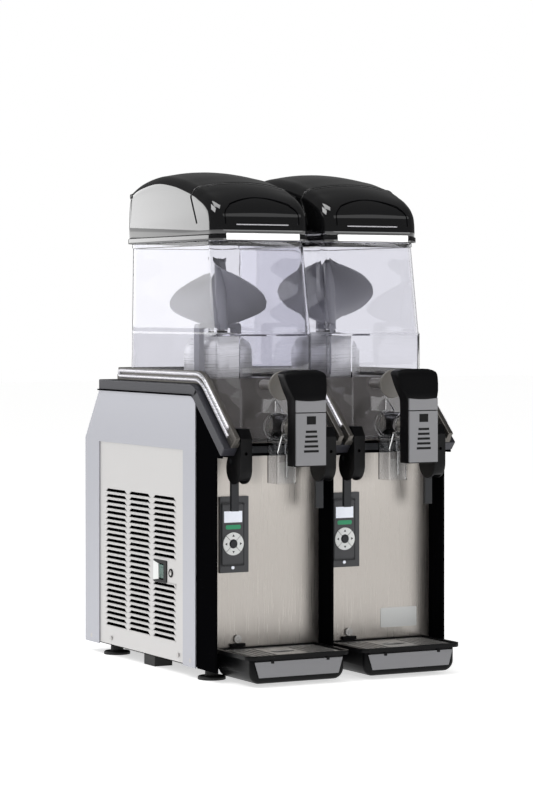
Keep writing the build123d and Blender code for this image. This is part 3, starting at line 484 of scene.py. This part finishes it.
def control_faces():
    """Raised faces of the control panels: a rim, a plain green bar and dial marks."""
    for name, cx in SIDES:
        x0 = cx - 55.4
        frame_bar = Solid()
        outer = rounded([(cx - 74, 168), (cx - 37, 168), (cx - 37, 262), (cx - 74, 262)], 2, 4)
        inner = rounded([(cx - 72.8, 169.2), (cx - 38.2, 169.2), (cx - 38.2, 260.8), (cx - 72.8, 260.8)], 1.5, 4)
        count = len(outer)
        rings = [[(x, y, z) for x, z in line] for line, y in ((outer, -141.5), (outer, -142.4), (inner, -142.4),
                                                             (inner, -141.5))]
        verts = [p for ring in rings for p in ring]
        faces = ring_faces(3, count)
        frame_bar.add(verts, faces)
        frame_bar.make(f"panel_rim_{name}", dark_grey, "housing")
        bar = Solid()
        bar.prism(rounded([(x0 - 12.5, 222.6), (x0 + 12.5, 222.6), (x0 + 12.5, 229), (x0 - 12.5, 229)], 2.6, 5),
                  -142.3, -141, along_y)
        bar.make(f"green_bar_{name}", green, "housing", width=0.25)
        marks = Solid()
        for dx, dz, turn in ((0, 12, 0), (12, 0, -90), (0, -12, 180), (-12, 0, 90)):
            a = radians(turn)
            points = [(-2.0, -1.3), (2.0, -1.3), (0, 2.0)]
            points = [(x0 + dx + u * cos(a) - v * sin(a), 201 + dz + u * sin(a) + v * cos(a)) for u, v in points]
            marks.prism(points, -143.45, -143.0, along_y)
        marks.make(f"dial_marks_{name}", dark_grey, "housing")


def switch():
    """Power switch: black frame, a pale cover over one half, a green rocker, and a round pilot lamp."""
    face = -198.1
    frame_piece = Solid()
    outer = rounded([(-16, 133), (30, 133), (30, 167), (-16, 167)], 2.0, 4)
    inner = rounded([(-5.5, 137.5), (27, 137.5), (27, 162.0), (-5.5, 162.0)], 1.0, 4)
    count = len(outer)
    rings = [[(x, y, z) for y, z in line] for line, x in ((outer, face + 0.8), (outer, face - 1.3),
                                                         (inner, face - 1.3), (inner, face + 9.0))]
    verts = [p for ring in rings for p in ring]
    faces = ring_faces(3, count)
    faces.append(tuple(range(3 * count, 4 * count)))
    frame_piece.add(verts, faces)
    frame_piece.turn([(3.2, face), (6.6, face), (6.8, face - 0.8), (6.0, face - 1.5), (4.6, face - 1.6),
                      (3.2, face - 1.0)], at(0, -29.5, 150, "x"), 40)
    frame_piece.make("switch_frame", black, "housing", ("switch_bezel",), width=0.3)
    lamp = Solid()
    lamp.turn([(0.5, face - 1.5), (3.4, face - 1.4), (4.6, face - 0.9), (4.6, face + 0.5), (0.5, face + 0.5)],
              at(0, -29.5, 150, "x"), 36)
    lamp.make("pilot_lamp", metal, "housing")
    cover = Solid()
    cover.prism(rounded([(11.6, 138.0), (29.4, 135.5), (29.4, 165), (11.6, 161.6)], 0.8, 3),
                face - 1.8, face + 0.5, along_x)
    cover.make("switch_cover", white, "housing", width=0.4)
    rocker = Solid()
    profile = [(139.4, face + 0.2), (150, face - 0.4), (160.4, face - 1.4), (159.4, face + 2.2),
               (140.4, face + 2.2)]
    rocker.prism([(x, z) for z, x in profile], -5.0, 11.0, along_y)
    for z, x in ((144.0, face - 0.4), (156.0, face - 1.2)):
        rocker.box((x - 0.4, x + 0.8), (-1.5, 7.5), (z - 0.5, z + 0.5))
    rocker.make("switch_key", rocker_green, "switch", ("switch_rocker",), width=0.35)


def rails():
    """Folded edges of the seats: two pale bands joined by a bend at the rear."""
    for name, cx in SIDES:
        for side, label in ((-1, "outer"), (1, "inner")):
            x = cx + side * 91.2
            upper = [(x, y, deck_height(y, 15.2)) for y in range(176, -200, -6)]
            lower = [(x, y, deck_height(y, 6.4)) for y in range(-196, 177, 6)]
            turn = [(x, 176 + 4.4 * sin(a), 437 + 10.8 - 4.4 * cos(a)) for a in (0.5, 1.05, 1.57, 2.1, 2.65)]
            tube(f"rail_{label}_{name}", lower + turn + upper, 3.1, rail_grey, "housing")


def trims():
    """Dark shadow strips under the edge of the deck, and clips over the front plates of the trays."""
    strips = Solid()
    for side in (-1, 1):
        strips.box(sorted((side * 198.4, side * 199.9)), (-99, 236), (419.6, 421.8))
    strips.make("deck_shadow_strips", black_frame, "housing", width=0.3)
    for name, cx in SIDES:
        clips = Solid()
        for x in (-44, 48):
            clips.prism(rounded([(cx + x - 2.6, 34.6), (cx + x + 2.6, 34.6), (cx + x + 2.6, 39), (cx + x - 2.6, 39)],
                                [1, 1, 0, 0], 3), -245.6, -243.5, along_y)
        clips.make(f"plate_clips_{name}", black, f"tray_unit_{name}", width=0.2)


def rating_plate():
    """Blank plate on the right-hand front panel."""
    plate = Solid()
    plate.prism(rounded([(106, 62), (170, 62), (170, 92), (106, 92)], 2, 4), -136.45, -135.9, along_y)
    plate.make("blank_plate", white, "housing", width=0.15)


# ---------------------------------------------------------------- bowls
def bowl_size(z, inset):
    share = (651.0 - z) / 299.0
    return (79.0 + 2.5 * share - inset, -127.5 - 47.5 * share + inset, 173.0 + 3.5 * share - inset)


def deck_height(y, off):
    """Height of a line parallel to the deck, with its rounded knee."""
    knee = -104.0 - off * tan(radians(21))
    flat, slope = 437.0 + off, tan(radians(42))
    reach = 16.0
    if y > knee + reach:
        return flat
    if y < knee - reach:
        return flat - (knee - y) * slope
    t = (knee + reach - y) / (2 * reach)
    return flat - slope * reach * t * t


def bowl_foot(x, y):
    """Height of the bowl's lower edge, which follows its seat."""
    if abs(x) > 70 and y > -139:
        return deck_height(y, 11.8)
    if y > -90:
        return 448.8
    return max(352.5, 445.6 - (-90 - y) * 1.2714)


def bowl_ring(z, inset, nosed):
    """Outline of the bowl at a height: counter-clockwise, always with the same number of points."""
    half, front, rear = bowl_size(z, inset)
    corner = 22.0 - inset
    ring = []

    def arc(cx, cy, r, start, end, steps):
        for k in range(steps + 1):
            a = radians(start + (end - start) * k / steps)
            ring.append((cx + r * cos(a), cy + r * sin(a)))

    y_side = -138.0 + corner if nosed else front + corner
    steps = 22
    arc(half - corner, rear - corner, corner, 0, 90, 8)
    for k in range(1, 10):
        ring.append((half - corner - (2 * half - 2 * corner) * k / 10, rear))
    arc(-half + corner, rear - corner, corner, 90, 180, 8)
    for k in range(1, steps):
        ring.append((-half, rear - corner + (y_side - rear + corner) * k / steps))
    nose = -170.0 + inset
    if nosed:
        side = [(-half, -138.0 + 6), (-half + 0.4, -138.0 + 2), (-half + 1.8, -138.0 - 2 + inset * 0.6)]
        for t in (0.2, 0.4, 0.6, 0.8):
            side.append((-half + 1.8 + (half - 1.8 - 58.5) * t, -140.0 + inset * 0.6 + (nose + 1.2 + 140.0) * t))
        side += [(-58.0, nose + 0.5), (-56.0, nose)]
        side = side[:9]
    else:
        side = []
        for k in range(9):
            a = radians(180 + 90 * k / 8)
            side.append((-half + corner + corner * cos(a), front + corner + corner * sin(a)))
    ring += side
    flat = nose if nosed else front
    inner_x = side[-1][0]
    for k in range(1, 12):
        ring.append((inner_x + (-2 * inner_x) * k / 12, flat))
    ring += [(-x, y) for x, y in reversed(side)]
    for k in range(1, steps):
        ring.append((half, y_side + (rear - corner - y_side) * k / steps))
    return ring


def bowl(name, cx):
    """Clear bowl with wall thickness, a rim, a flat ledge and a square nose at its foot."""
    levels = []
    for inset in (0.0, 3.0):
        nose = bowl_ring(505.0, inset, True)
        ledge = 512.0 - inset
        skin = [[(x, y, bowl_foot(x, y)) for x, y in bowl_ring(400.0, inset, True)]]
        skin.append([(x, y, bowl_foot(x, y) + (ledge - 1.2 - bowl_foot(x, y)) * 0.5) for x, y in nose])
        skin.append([(x, y, ledge - 1.2) for x, y in nose])
        upper = bowl_ring(ledge, inset, False)
        skin.append([(x * 0.9 + u * 0.1, y * 0.985 + v * 0.015, ledge - 0.3)
                     for (x, y), (u, v) in zip(nose, upper)])
        skin.append([(x * 0.55 + u * 0.45, y * 0.55 + v * 0.45, ledge) for (x, y), (u, v) in zip(nose, upper)])
        skin.append([(x, y, ledge + 0.4) for x, y in upper])
        for z in (ledge + 2.5, 540.0, 580.0, 615.0, 643.5):
            skin.append([(x, y, z) for x, y in bowl_ring(z, inset, False)])
        if inset == 0.0:
            lip = bowl_ring(648.0, -1.6, False)
            skin += [[(x, y, z) for x, y in lip] for z in (645.0, 650.2)]
            skin.append([(x, y, 650.9) for x, y in bowl_ring(651.0, -0.9, False)])
        else:
            skin.append([(x, y, 650.2) for x, y in bowl_ring(650.0, inset, False)])
            skin.append([(x, y, 650.9) for x, y in bowl_ring(651.0, inset - 0.8, False)])
        levels.append(skin)
    rings = levels[0] + levels[1][::-1]
    count = len(rings[0])
    verts = [(cx + x, y, z) for ring in rings for x, y, z in ring]
    faces = []
    for i in range(len(rings)):
        j = (i + 1) % len(rings)
        for k in range(count):
            n = (k + 1) % count
            faces.append((i * count + k, i * count + n, j * count + n, j * count + k))
    piece = add_mesh(f"clear_bowl_{name}", verts, faces, bowl_clear, f"bowl_unit_{name}", (f"bowl_{name}",), 40)
    recalc(piece)
    # Painted shade: thin dark beads down two opposite corners, standing for the dark edges the clear wall shows where
    # it turns away
    for label, angle in (("front", radians(-28)), ("rear", radians(152))):
        painted_edge = []
        for z in (648.0, 615.0, 580.0, 540.0, 516.0):
            x, y = max(bowl_ring(z, 1.2, False), key=lambda p: p[0] * cos(angle) + p[1] * sin(angle))
            painted_edge.append((cx + x, y, z))
        tube(f"seam_{label}_{name}", painted_edge, 0.75, painted_edge_shade, f"bowl_unit_{name}")


# ---------------------------------------------------------------- augers
def auger(name, cx, turn):
    """Two-start open screw with swept blades, a hub and two scraping arms."""
    solid = Solid()
    axis_y, low, high, sweep = 15.0, 524.0, 626.0, 165.0
    steps, across = 56, 14
    for start in (0, 180):
        rings = []
        for i in range(steps + 1):
            t = i / steps
            a = radians(start + turn + sweep * t)
            reach = 20 + 53.5 * sin(pi / 2 * min(1.0, 0.12 + min(t, 1 - t) / 0.30)) ** 0.8
            middle = high - (high - low) * t
            top, bottom = [], []
            for k in range(across + 1):
                s = k / across
                r = 9 + (reach - 9) * s
                z = middle - 5.0 * sin(pi * s) * (0.4 + 0.6 * sin(pi * t)) + 2.0 * s
                thick = 2.1 - 1.1 * s
                spread = radians(-14 * s * s)
                x, y = cx + r * cos(a + spread), axis_y + r * sin(a + spread)
                top.append((x, y, z + thick))
                bottom.append((x, y, z - thick))
            rings.append(top + bottom[::-1])
        count = len(rings[0])
        verts = [p for ring in rings for p in ring]
        faces = ring_faces(steps, count)
        faces += [tuple(range(count))[::-1], tuple(range(steps * count, (steps + 1) * count))]
        solid.add(verts, faces)
    solid.turn([(8.2, 516.4), (14.5, 516.6), (15, 518), (14, 560), (13.4, 610), (12, 621), (8, 625.5), (3, 626.5)],
               at(cx, axis_y, 0, "z"), 40)
    for start in (0, 180):
        a = radians(start + turn + sweep)
        out, side = Vector((cos(a), sin(a), 0)), Vector((-sin(a), cos(a), 0))

        def put(u, v, w, out=out, side=side):
            p = Vector((cx, axis_y, 0)) + out * u + side * w
            return (p.x, p.y, v)

        outline = rounded([(11, 519.5), (54, 519.5), (54, 448.5), (72, 448.5), (71.5, 526.5), (11, 526.5)],
                          [0, 3, 3, 6, 6, 0], 4)
        solid.prism(outline, -4.3, 4.3, put)
    piece = solid.make(f"screw_{name}", auger_grey, f"auger_unit_{name}", (f"auger_{name}",), sharp=40)


# ---------------------------------------------------------------- lids
def lid_line():
    """Side view of the lid from the rear foot over the top to the front foot."""
    arch = smooth_line([(176.4, 700), (176.2, 720), (172.5, 736), (160, 744.5), (120, 755.5), (60, 761.8), (0, 755.5),
                        (-40, 746.5), (-62, 740.5), (-84, 732.5), (-104, 721), (-119, 707), (-127, 693),
                        (-130.4, 678)], 5)
    return [(176.5, 659.0), (176.5, 680.0)] + arch + [(-130.8, 668.0), (-131.0, 659.0)]


def lid(name, cx):
    """Domed lid with a shoulder that runs all the way round, and a straight skirt."""
    line = lid_line()
    radius, half, arcs = 17.0, 82.4, 8
    normals = []
    for i in range(len(line)):
        a, b = line[max(i - 1, 0)], line[min(i + 1, len(line) - 1)]
        d = Vector((b[0] - a[0], b[1] - a[1])).normalized()
        normals.append((-d.y, d.x))
    rows = []
    for (y, z), (ny, nz) in zip(line, normals):
        row = []
        camber = 7.0 * max(0.0, min(1.0, (z - 690) / 40)) ** 1.5
        for k in range(arcs + 1):
            a = radians(90 - 90 * k / arcs)
            dip = radius * (1 - cos(a)) + camber
            row.append((-(half - radius) - radius * sin(a), y + ny * dip, z + nz * dip))
        for k in range(1, 16):
            x = -(half - radius) + 2 * (half - radius) * k / 16
            dip = camber * (x / (half - radius)) ** 2
            row.append((x, y + ny * dip, z + nz * dip))
        row += [(-x, yy, zz) for x, yy, zz in reversed(row[:arcs + 1])]
        rows.append(row)
    count = len(rows[0])
    verts = [(cx + x, y, max(z, 659.0)) for row in rows for x, y, z in row]
    faces = [(i * count + k, (i + 1) * count + k, (i + 1) * count + k + 1, i * count + k + 1)
             for i in range(len(rows) - 1) for k in range(count - 1)]
    faces.append(tuple(i * count for i in range(len(rows)))[::-1])
    faces.append(tuple(i * count + count - 1 for i in range(len(rows))))
    piece = add_mesh(f"dome_{name}", verts, faces, gloss, f"lid_unit_{name}", (f"lid_{name}",), 50)
    recalc(piece)
    thick = piece.modifiers.new("wall", "SOLIDIFY")
    thick.thickness = 2.6 * MM
    thick.offset = -1
    # Raised edge where the front cap meets the crown
    crease = min(range(len(rows)), key=lambda i: abs(line[i][0] + 62) + (100 if line[i][1] < 700 else 0))
    over = [(cx + x, y, z) for x, y, z in rows[crease]]
    (x0, y0, z0), (x1, y1, z1) = over[0], over[-1]
    over = [(x0, y0 - 5 * k, z0 - 10 * k) for k in (4, 3, 2, 1)] + over
    over += [(x1, y1 - 5 * k, z1 - 10 * k) for k in (1, 2, 3, 4)]
    tube(f"cap_edge_{name}", over, 1.5, gloss, f"lid_unit_{name}")
    # Skirt band around the foot
    skirt = Solid()
    rings = []
    for grow, z in ((1.3, 651.3), (1.5, 652.0), (1.5, 658.2), (1.3, 659.0), (0.2, 659.6), (-2.4, 659.6),
                    (-2.4, 651.3)):
        outline = rounded([(cx - 82.4 - grow, -131 - grow), (cx + 82.4 + grow, -131 - grow),
                           (cx + 82.4 + grow, 176.5 + grow), (cx - 82.4 - grow, 176.5 + grow)], 17 + grow, 8)
        rings.append([(x, y, z) for x, y in outline])
    size = len(rings[0])
    verts = [p for ring in rings for p in ring]
    faces = ring_faces(len(rings), size, len(rings))
    skirt.add(verts, faces)
    skirt.make(f"skirt_{name}", gloss, f"lid_unit_{name}")
    # Light strip over the front of the skirt
    strip = Solid()
    strip.prism(rounded([(cx - 61.8, 652.4), (cx + 61.8, 652.4), (cx + 61.8, 662.2), (cx - 61.8, 662.2)], 1.2, 4),
                -133.6, -131.2, along_y)
    strip.make(f"strip_{name}", white_strip, f"lid_unit_{name}", (f"lid_light_{name}",), width=0.6)
    # Arched groove and the slot over the light strip, laid into the front; the slot is a real line in the lid, and
    # its light-grey bar is a painted highlight
    front = [(y, z) for y, z in line if y < -30 and z > 660]

    def on_front(z):
        for (y0, z0), (y1, z1) in zip(front, front[1:]):
            if z1 <= z <= z0:
                return y0 + (y1 - y0) * (z0 - z) / max(z0 - z1, 1e-6)
        return front[-1][0]

    shape = [(-62, 676)] + [(-62 + 2 * k, 690 + 20 * (k / 10) ** 0.55) for k in range(0, 6)]
    shape += [(x, 704.8 + 11.5 * cos(x / 52 * pi / 2) ** 0.8) for x in range(-50, 51, 5)]
    shape += [(62 - 2 * k, 690 + 20 * (k / 10) ** 0.55) for k in range(5, -1, -1)] + [(62, 676)]
    shape = smooth_line(shape, 3)
    tube(f"groove_{name}", [(cx + x, on_front(z) - 0.1, z) for x, z in shape], 0.75, black_frame,
         f"lid_unit_{name}")
    # Painted highlight: the slot is drawn as a light-grey bar that stands for the bright line along it
    slot = Solid()
    y = on_front(675)
    slot.box((cx - 44, cx + 44), (y - 0.35, y + 1), (674.4, 676.0))
    slot.make(f"lid_slot_highlight_{name}", rail_grey, f"lid_unit_{name}", width=0.2)


# ---------------------------------------------------------------- taps
def tap(name, cx):
    body = f"bowl_unit_{name}"
    clear_parts = Solid()
    place = at(cx, 0, 375, "y")
    # Valve tube with a flange, ribs and an open bore
    outer = [(17.6, -232.0), (19.6, -236.0), (20.4, -234.5), (20.4, -222), (19.2, -221), (19.2, -184), (20.4, -183),
             (20.4, -171.0), (17.6, -171.0)]
    steps = 56
    rings = [[place(r * cos(2 * pi * k / steps), r * sin(2 * pi * k / steps), w) for k in range(steps)]
             for r, w in outer]
    verts = [p for ring in rings for p in ring]
    faces = ring_faces(len(rings), steps, len(rings))
    clear_parts.add(verts, faces)
    # Spout: open square tube, wide towards the front
    outline = rounded([(-16.5, -208), (16.5, -208), (16.5, -174), (-16.5, -174)], 3.5, 5)
    inner = rounded([(-14.1, -205.6), (14.1, -205.6), (14.1, -176.4), (-14.1, -176.4)], 2.0, 5)
    count = len(outline)
    rings = [[(cx + x, y, z) for x, y in outline] for z in (292.0, 357.0)]
    rings += [[(cx + x, y, z) for x, y in inner] for z in (355.0, 292.0)]
    verts = [p for ring in rings for p in ring]
    faces = [(i * count + k, i * count + (k + 1) % count, ((i + 1) % 4) * count + (k + 1) % count,
              ((i + 1) % 4) * count + k) for i in range(4) for k in range(count)]
    clear_parts.add(verts, faces)
    # Stiffening webs of the spout and the lugs of the handle pin
    clear_parts.prism([(-209.5, 300), (-206, 300), (-206, 352), (-209.5, 352)], cx - 1.1, cx + 1.1, along_x)
    for side in (-1, 1):
        lug = rounded([(-222, 366), (-207, 336), (-238, 336.5), (-247.5, 344), (-236, 366)], [2, 2, 6, 6, 2], 4)
        low, high = sorted((cx + side * 13.2, cx + side * 16.8))
        clear_parts.prism(lug, low, high, along_x)
    # Gusset under the plug
    clear_parts.prism([(-172, 396), (-172, 414), (-196, 396)], cx - 1.2, cx + 1.2, along_x)
    piece = clear_parts.make(f"clear_tap_{name}", tap_clear, body, (f"tap_body_{name}",), width=0.3)
    # Piston with its sealing rings
    piston = Solid()
    profile = [(2, -171.2), (14.2, -171.2), (15.4, -172.6)]
    for y in (-176, -184, -192, -200):
        profile += [(15.4, y + 2.6), (17.0, y + 1.6), (17.2, y), (17.0, y - 1.6), (15.4, y - 2.6)]
    profile += [(15.2, -205.5), (5.1, -206.4), (5.1, -262.6), (9, -264), (9, -269.2), (8, -270), (2, -270)]
    piston.turn(profile, place, 56)
    piece = piston.make(f"ringed_piston_{name}", knob_grey, f"piston_unit_{name}", (f"piston_{name}",), sharp=25)
    # Plug with a ribbed cone
    plug = Solid()
    steps, rings = 96, []
    for r, w, rib in ((7, -131, 0), (7.9, -132, 0), (7.9, -166.5, 0), (11.6, -166.8, 0), (11.8, -170.4, 0),
                      (12.6, -172, 0.2), (14.6, -177, 0.7), (18.2, -184, 0.9), (20.8, -189, 0.8), (21.6, -190.6, 0.3),
                      (20.6, -192, 0), (6, -192, 0)):
        ring = []
        for k in range(steps):
            a = 2 * pi * k / steps
            radius = r + rib * (0.5 + 0.5 * cos(32 * a)) - rib * 0.5
            ring.append((cx + radius * cos(a), w, 436 + radius * sin(a)))
        rings.append(ring)
    verts = [p for ring in rings for p in ring]
    faces = ring_faces(len(rings) - 1, steps)
    faces += [tuple(range(steps))[::-1], tuple(range((len(rings) - 1) * steps, len(rings) * steps))]
    plug.add(verts, faces)
    piece = plug.make(f"ribbed_plug_{name}", knob_grey, body, (f"bowl_plug_{name}",), sharp=50)


# ---------------------------------------------------------------- handles
def handle(name, cx):
    """Lever: U-shaped stem with a flared head leaning back, a grey face plate and generic marks."""
    body = f"handle_unit_{name}"
    back, front, low, knee = -253.0, -278.4, 321.0, 420.0
    rows = []
    stations = [(low, 25.0, front, back), (low + 2, 25.0, front, back), (360, 25.0, front, back),
                (404, 25.0, front, back), (414, 25.6, front + 0.1, back), (knee, 27.2, front + 0.6, back + 1),
                (428, 30.0, front + 3.2, back + 3.2), (438, 32.6, front + 7.4, back + 6.2),
                (448, 34.4, front + 11.6, back + 9.4), (455, 34.9, front + 14.4, back + 11.4),
                (459, 34.0, front + 16.4, back + 12.2), (461.2, 30.5, front + 18.6, back + 11.2),
                (461.9, 24.0, front + 21, back + 9)]
    for z, half, y0, y1 in stations:
        outline = rounded([(-half, y0), (half, y0), (half, y1), (-half, y1)], 2.6, 4)
        arch = max(0.0, z - 448) / 14
        rows.append([(cx + x, y, z - arch * 5.0 * (x / 35) ** 2) for x, y in outline])
    count = len(rows[0])
    verts = [p for row in rows for p in row]
    faces = ring_faces(len(rows) - 1, count)
    faces += [tuple(range(count))[::-1], tuple(range((len(rows) - 1) * count, len(rows) * count))]
    shell = add_mesh(f"lever_{name}", verts, faces, black, body, (f"handle_{name}",), 40)
    recalc(shell)
    bevel(shell, 1.2, 3, 40)
    room = Solid()
    room.box((cx - 22, cx + 22), (front + 3, back + 12), (low - 6, knee - 8))
    cutter = room.make(f"room_{name}", black, body)
    cut = shell.modifiers.new("hollow", "BOOLEAN")
    cut.operation = "DIFFERENCE"
    cut.object = cutter
    cut.solver = "EXACT"
    shell.modifiers.move(1, 0)
    apply_modifiers(shell)
    bpy.data.objects.remove(cutter)
    web = Solid()
    web.box((cx - 9.8, cx + 9.8), (front + 2.5, -241), (338.5, 349.5))
    web.turn([(3.2, -9.8), (6.9, -9.8), (6.9, 9.8), (3.2, 9.8)], at(cx, -240, 344, "x"), 40)
    web.make(f"lever_web_{name}", black, body, width=0.4)
    # Face plate, dished along its upper edge, with a groove, an icon and five bars
    plate = Solid()
    face = -281.4
    edge = [(-24.5, 322.5), (24.5, 322.5), (24.5, 417.2)]
    edge += [(24.5 - 49 * k / 12, 417.2 - 1.6 * sin(pi * k / 12)) for k in range(1, 12)] + [(-24.5, 417.2)]
    lower = [(-24.5, 322.5), (24.5, 322.5), (24.5, 398.4), (-24.5, 398.4)]
    upper = [(-24.5, 399.6), (24.5, 399.6)] + edge[2:]
    for outline in (lower, upper):
        plate.prism([(cx + x, z) for x, z in outline], face, front + 0.3, along_y)
    plate.make(f"face_{name}", face_grey, body, (f"handle_plate_{name}",), width=0.5)
    marks = Solid()
    marks.box((cx - 7.6, cx + 7.6), (face - 0.08, face + 0.4), (382.0, 394.0))
    for step in range(5):
        half, z = 9.2 + 0.75 * step, 371.6 - 7.1 * step
        marks.box((cx - half, cx + half), (face - 0.08, face + 0.4), (z - 1.7, z + 1.7))
    marks.make(f"face_marks_{name}", black, body)


def apply_modifiers(piece):
    """Bakes the modifiers into the mesh."""
    graph = bpy.context.evaluated_depsgraph_get()
    baked = bpy.data.meshes.new_from_object(piece.evaluated_get(graph))
    piece.modifiers.clear()
    piece.data = baked


# ---------------------------------------------------------------- build it all
housing()
louvres()
air_filters()
control_faces()
switch()
rails()
trims()
rating_plate()
for name, cx in SIDES:
    bowl(name, cx)
    auger(name, cx, AUGER_TURN[name])
    lid(name, cx)
    tap(name, cx)
    handle(name, cx)


# ---------------------------------------------------------------- stage, light, camera
def stage_plane(name, corners, material):
    mesh = bpy.data.meshes.new(name)
    mesh.from_pydata(corners, [], [(0, 1, 2, 3)])
    mesh.materials.append(material)
    piece = bpy.data.objects.new(name, mesh)
    scene.collection.objects.link(piece)
    return piece


floor_white = new_material("floor_white", (0.92, 0.92, 0.915), 0.0, 0.6, Emission_Color=(1, 1, 1, 1),
                           Emission_Strength=FLOOR_GLOW)
stage_plane("floor", [(-15, -15, 0), (15, -15, 0), (15, 15, 0), (-15, 15, 0)], floor_white)

# White surroundings, with a dimmer room in reflections so that black stays black
world = bpy.data.worlds.new("studio")
scene.world = world
world.use_nodes = True
tree = world.node_tree
background = tree.nodes["Background"]
background.inputs["Color"].default_value = (1, 1, 1, 1)
path = tree.nodes.new("ShaderNodeLightPath")


def world_math(operation, a, b):
    node = tree.nodes.new("ShaderNodeMath")
    node.operation = operation
    for socket, value in zip(node.inputs, (a, b)):
        if isinstance(value, float):
            socket.default_value = value
        else:
            tree.links.new(value, socket)
    return node.outputs[0]


seen = world_math("MAXIMUM", path.outputs["Is Camera Ray"], path.outputs["Is Transmission Ray"])
mirrored = world_math("SUBTRACT", path.outputs["Is Glossy Ray"], path.outputs["Is Transmission Ray"])
mirrored = world_math("MAXIMUM", mirrored, 0.0)
strength = world_math("ADD", SKY, world_math("MULTIPLY", seen, SKY_SEEN))
strength = world_math("SUBTRACT", strength, world_math("MULTIPLY", mirrored, SKY_MIRRORED))
tree.links.new(strength, background.inputs["Strength"])


def soft_light(name, place, target, width, height, power, color=(1, 1, 1)):
    lamp = bpy.data.lights.new(name, "AREA")
    lamp.shape = "RECTANGLE"
    lamp.size, lamp.size_y = width, height
    lamp.energy = power
    lamp.color = color
    piece = bpy.data.objects.new(name, lamp)
    scene.collection.objects.link(piece)
    piece.location = place
    piece.rotation_euler = (Vector(target) - Vector(place)).to_track_quat("-Z", "Y").to_euler()
    piece.visible_camera = False
    piece.visible_transmission = False
    return piece


soft_light("rear_card", (-1.75, 3.0, 1.06), (-0.1, 0.1, 0.72), 2.4, 1.08, 21)
soft_light("left_card", (-1.8, -0.3, 2.9), (-0.1, 0.1, 0.35), 1.6, 1.2, 30)
soft_light("front_card", (1.9, -2.9, 2.7), (0, 0, 0.4), 1.5, 0.8, 2)
soft_light("near_card", (0.62, -1.25, 0.44), (0.05, -0.15, 0.38), 0.9, 0.28, 1.7)
soft_light("top_card", (-0.2, -0.3, 3.0), (0, 0, 0.5), 1.6, 1.0, 18)

camera = bpy.data.cameras.new("camera")
camera.lens = 121.8
camera.sensor_width = 36
camera.shift_y = -0.1143
camera.clip_end = 100
view = bpy.data.objects.new("camera", camera)
scene.collection.objects.link(view)
view.location = (-1.9898, -3.7091, 0.5498)
view.rotation_euler = (radians(90), 0, radians(-27.983))
scene.camera = view
scene.view_settings.view_transform = "Standard"
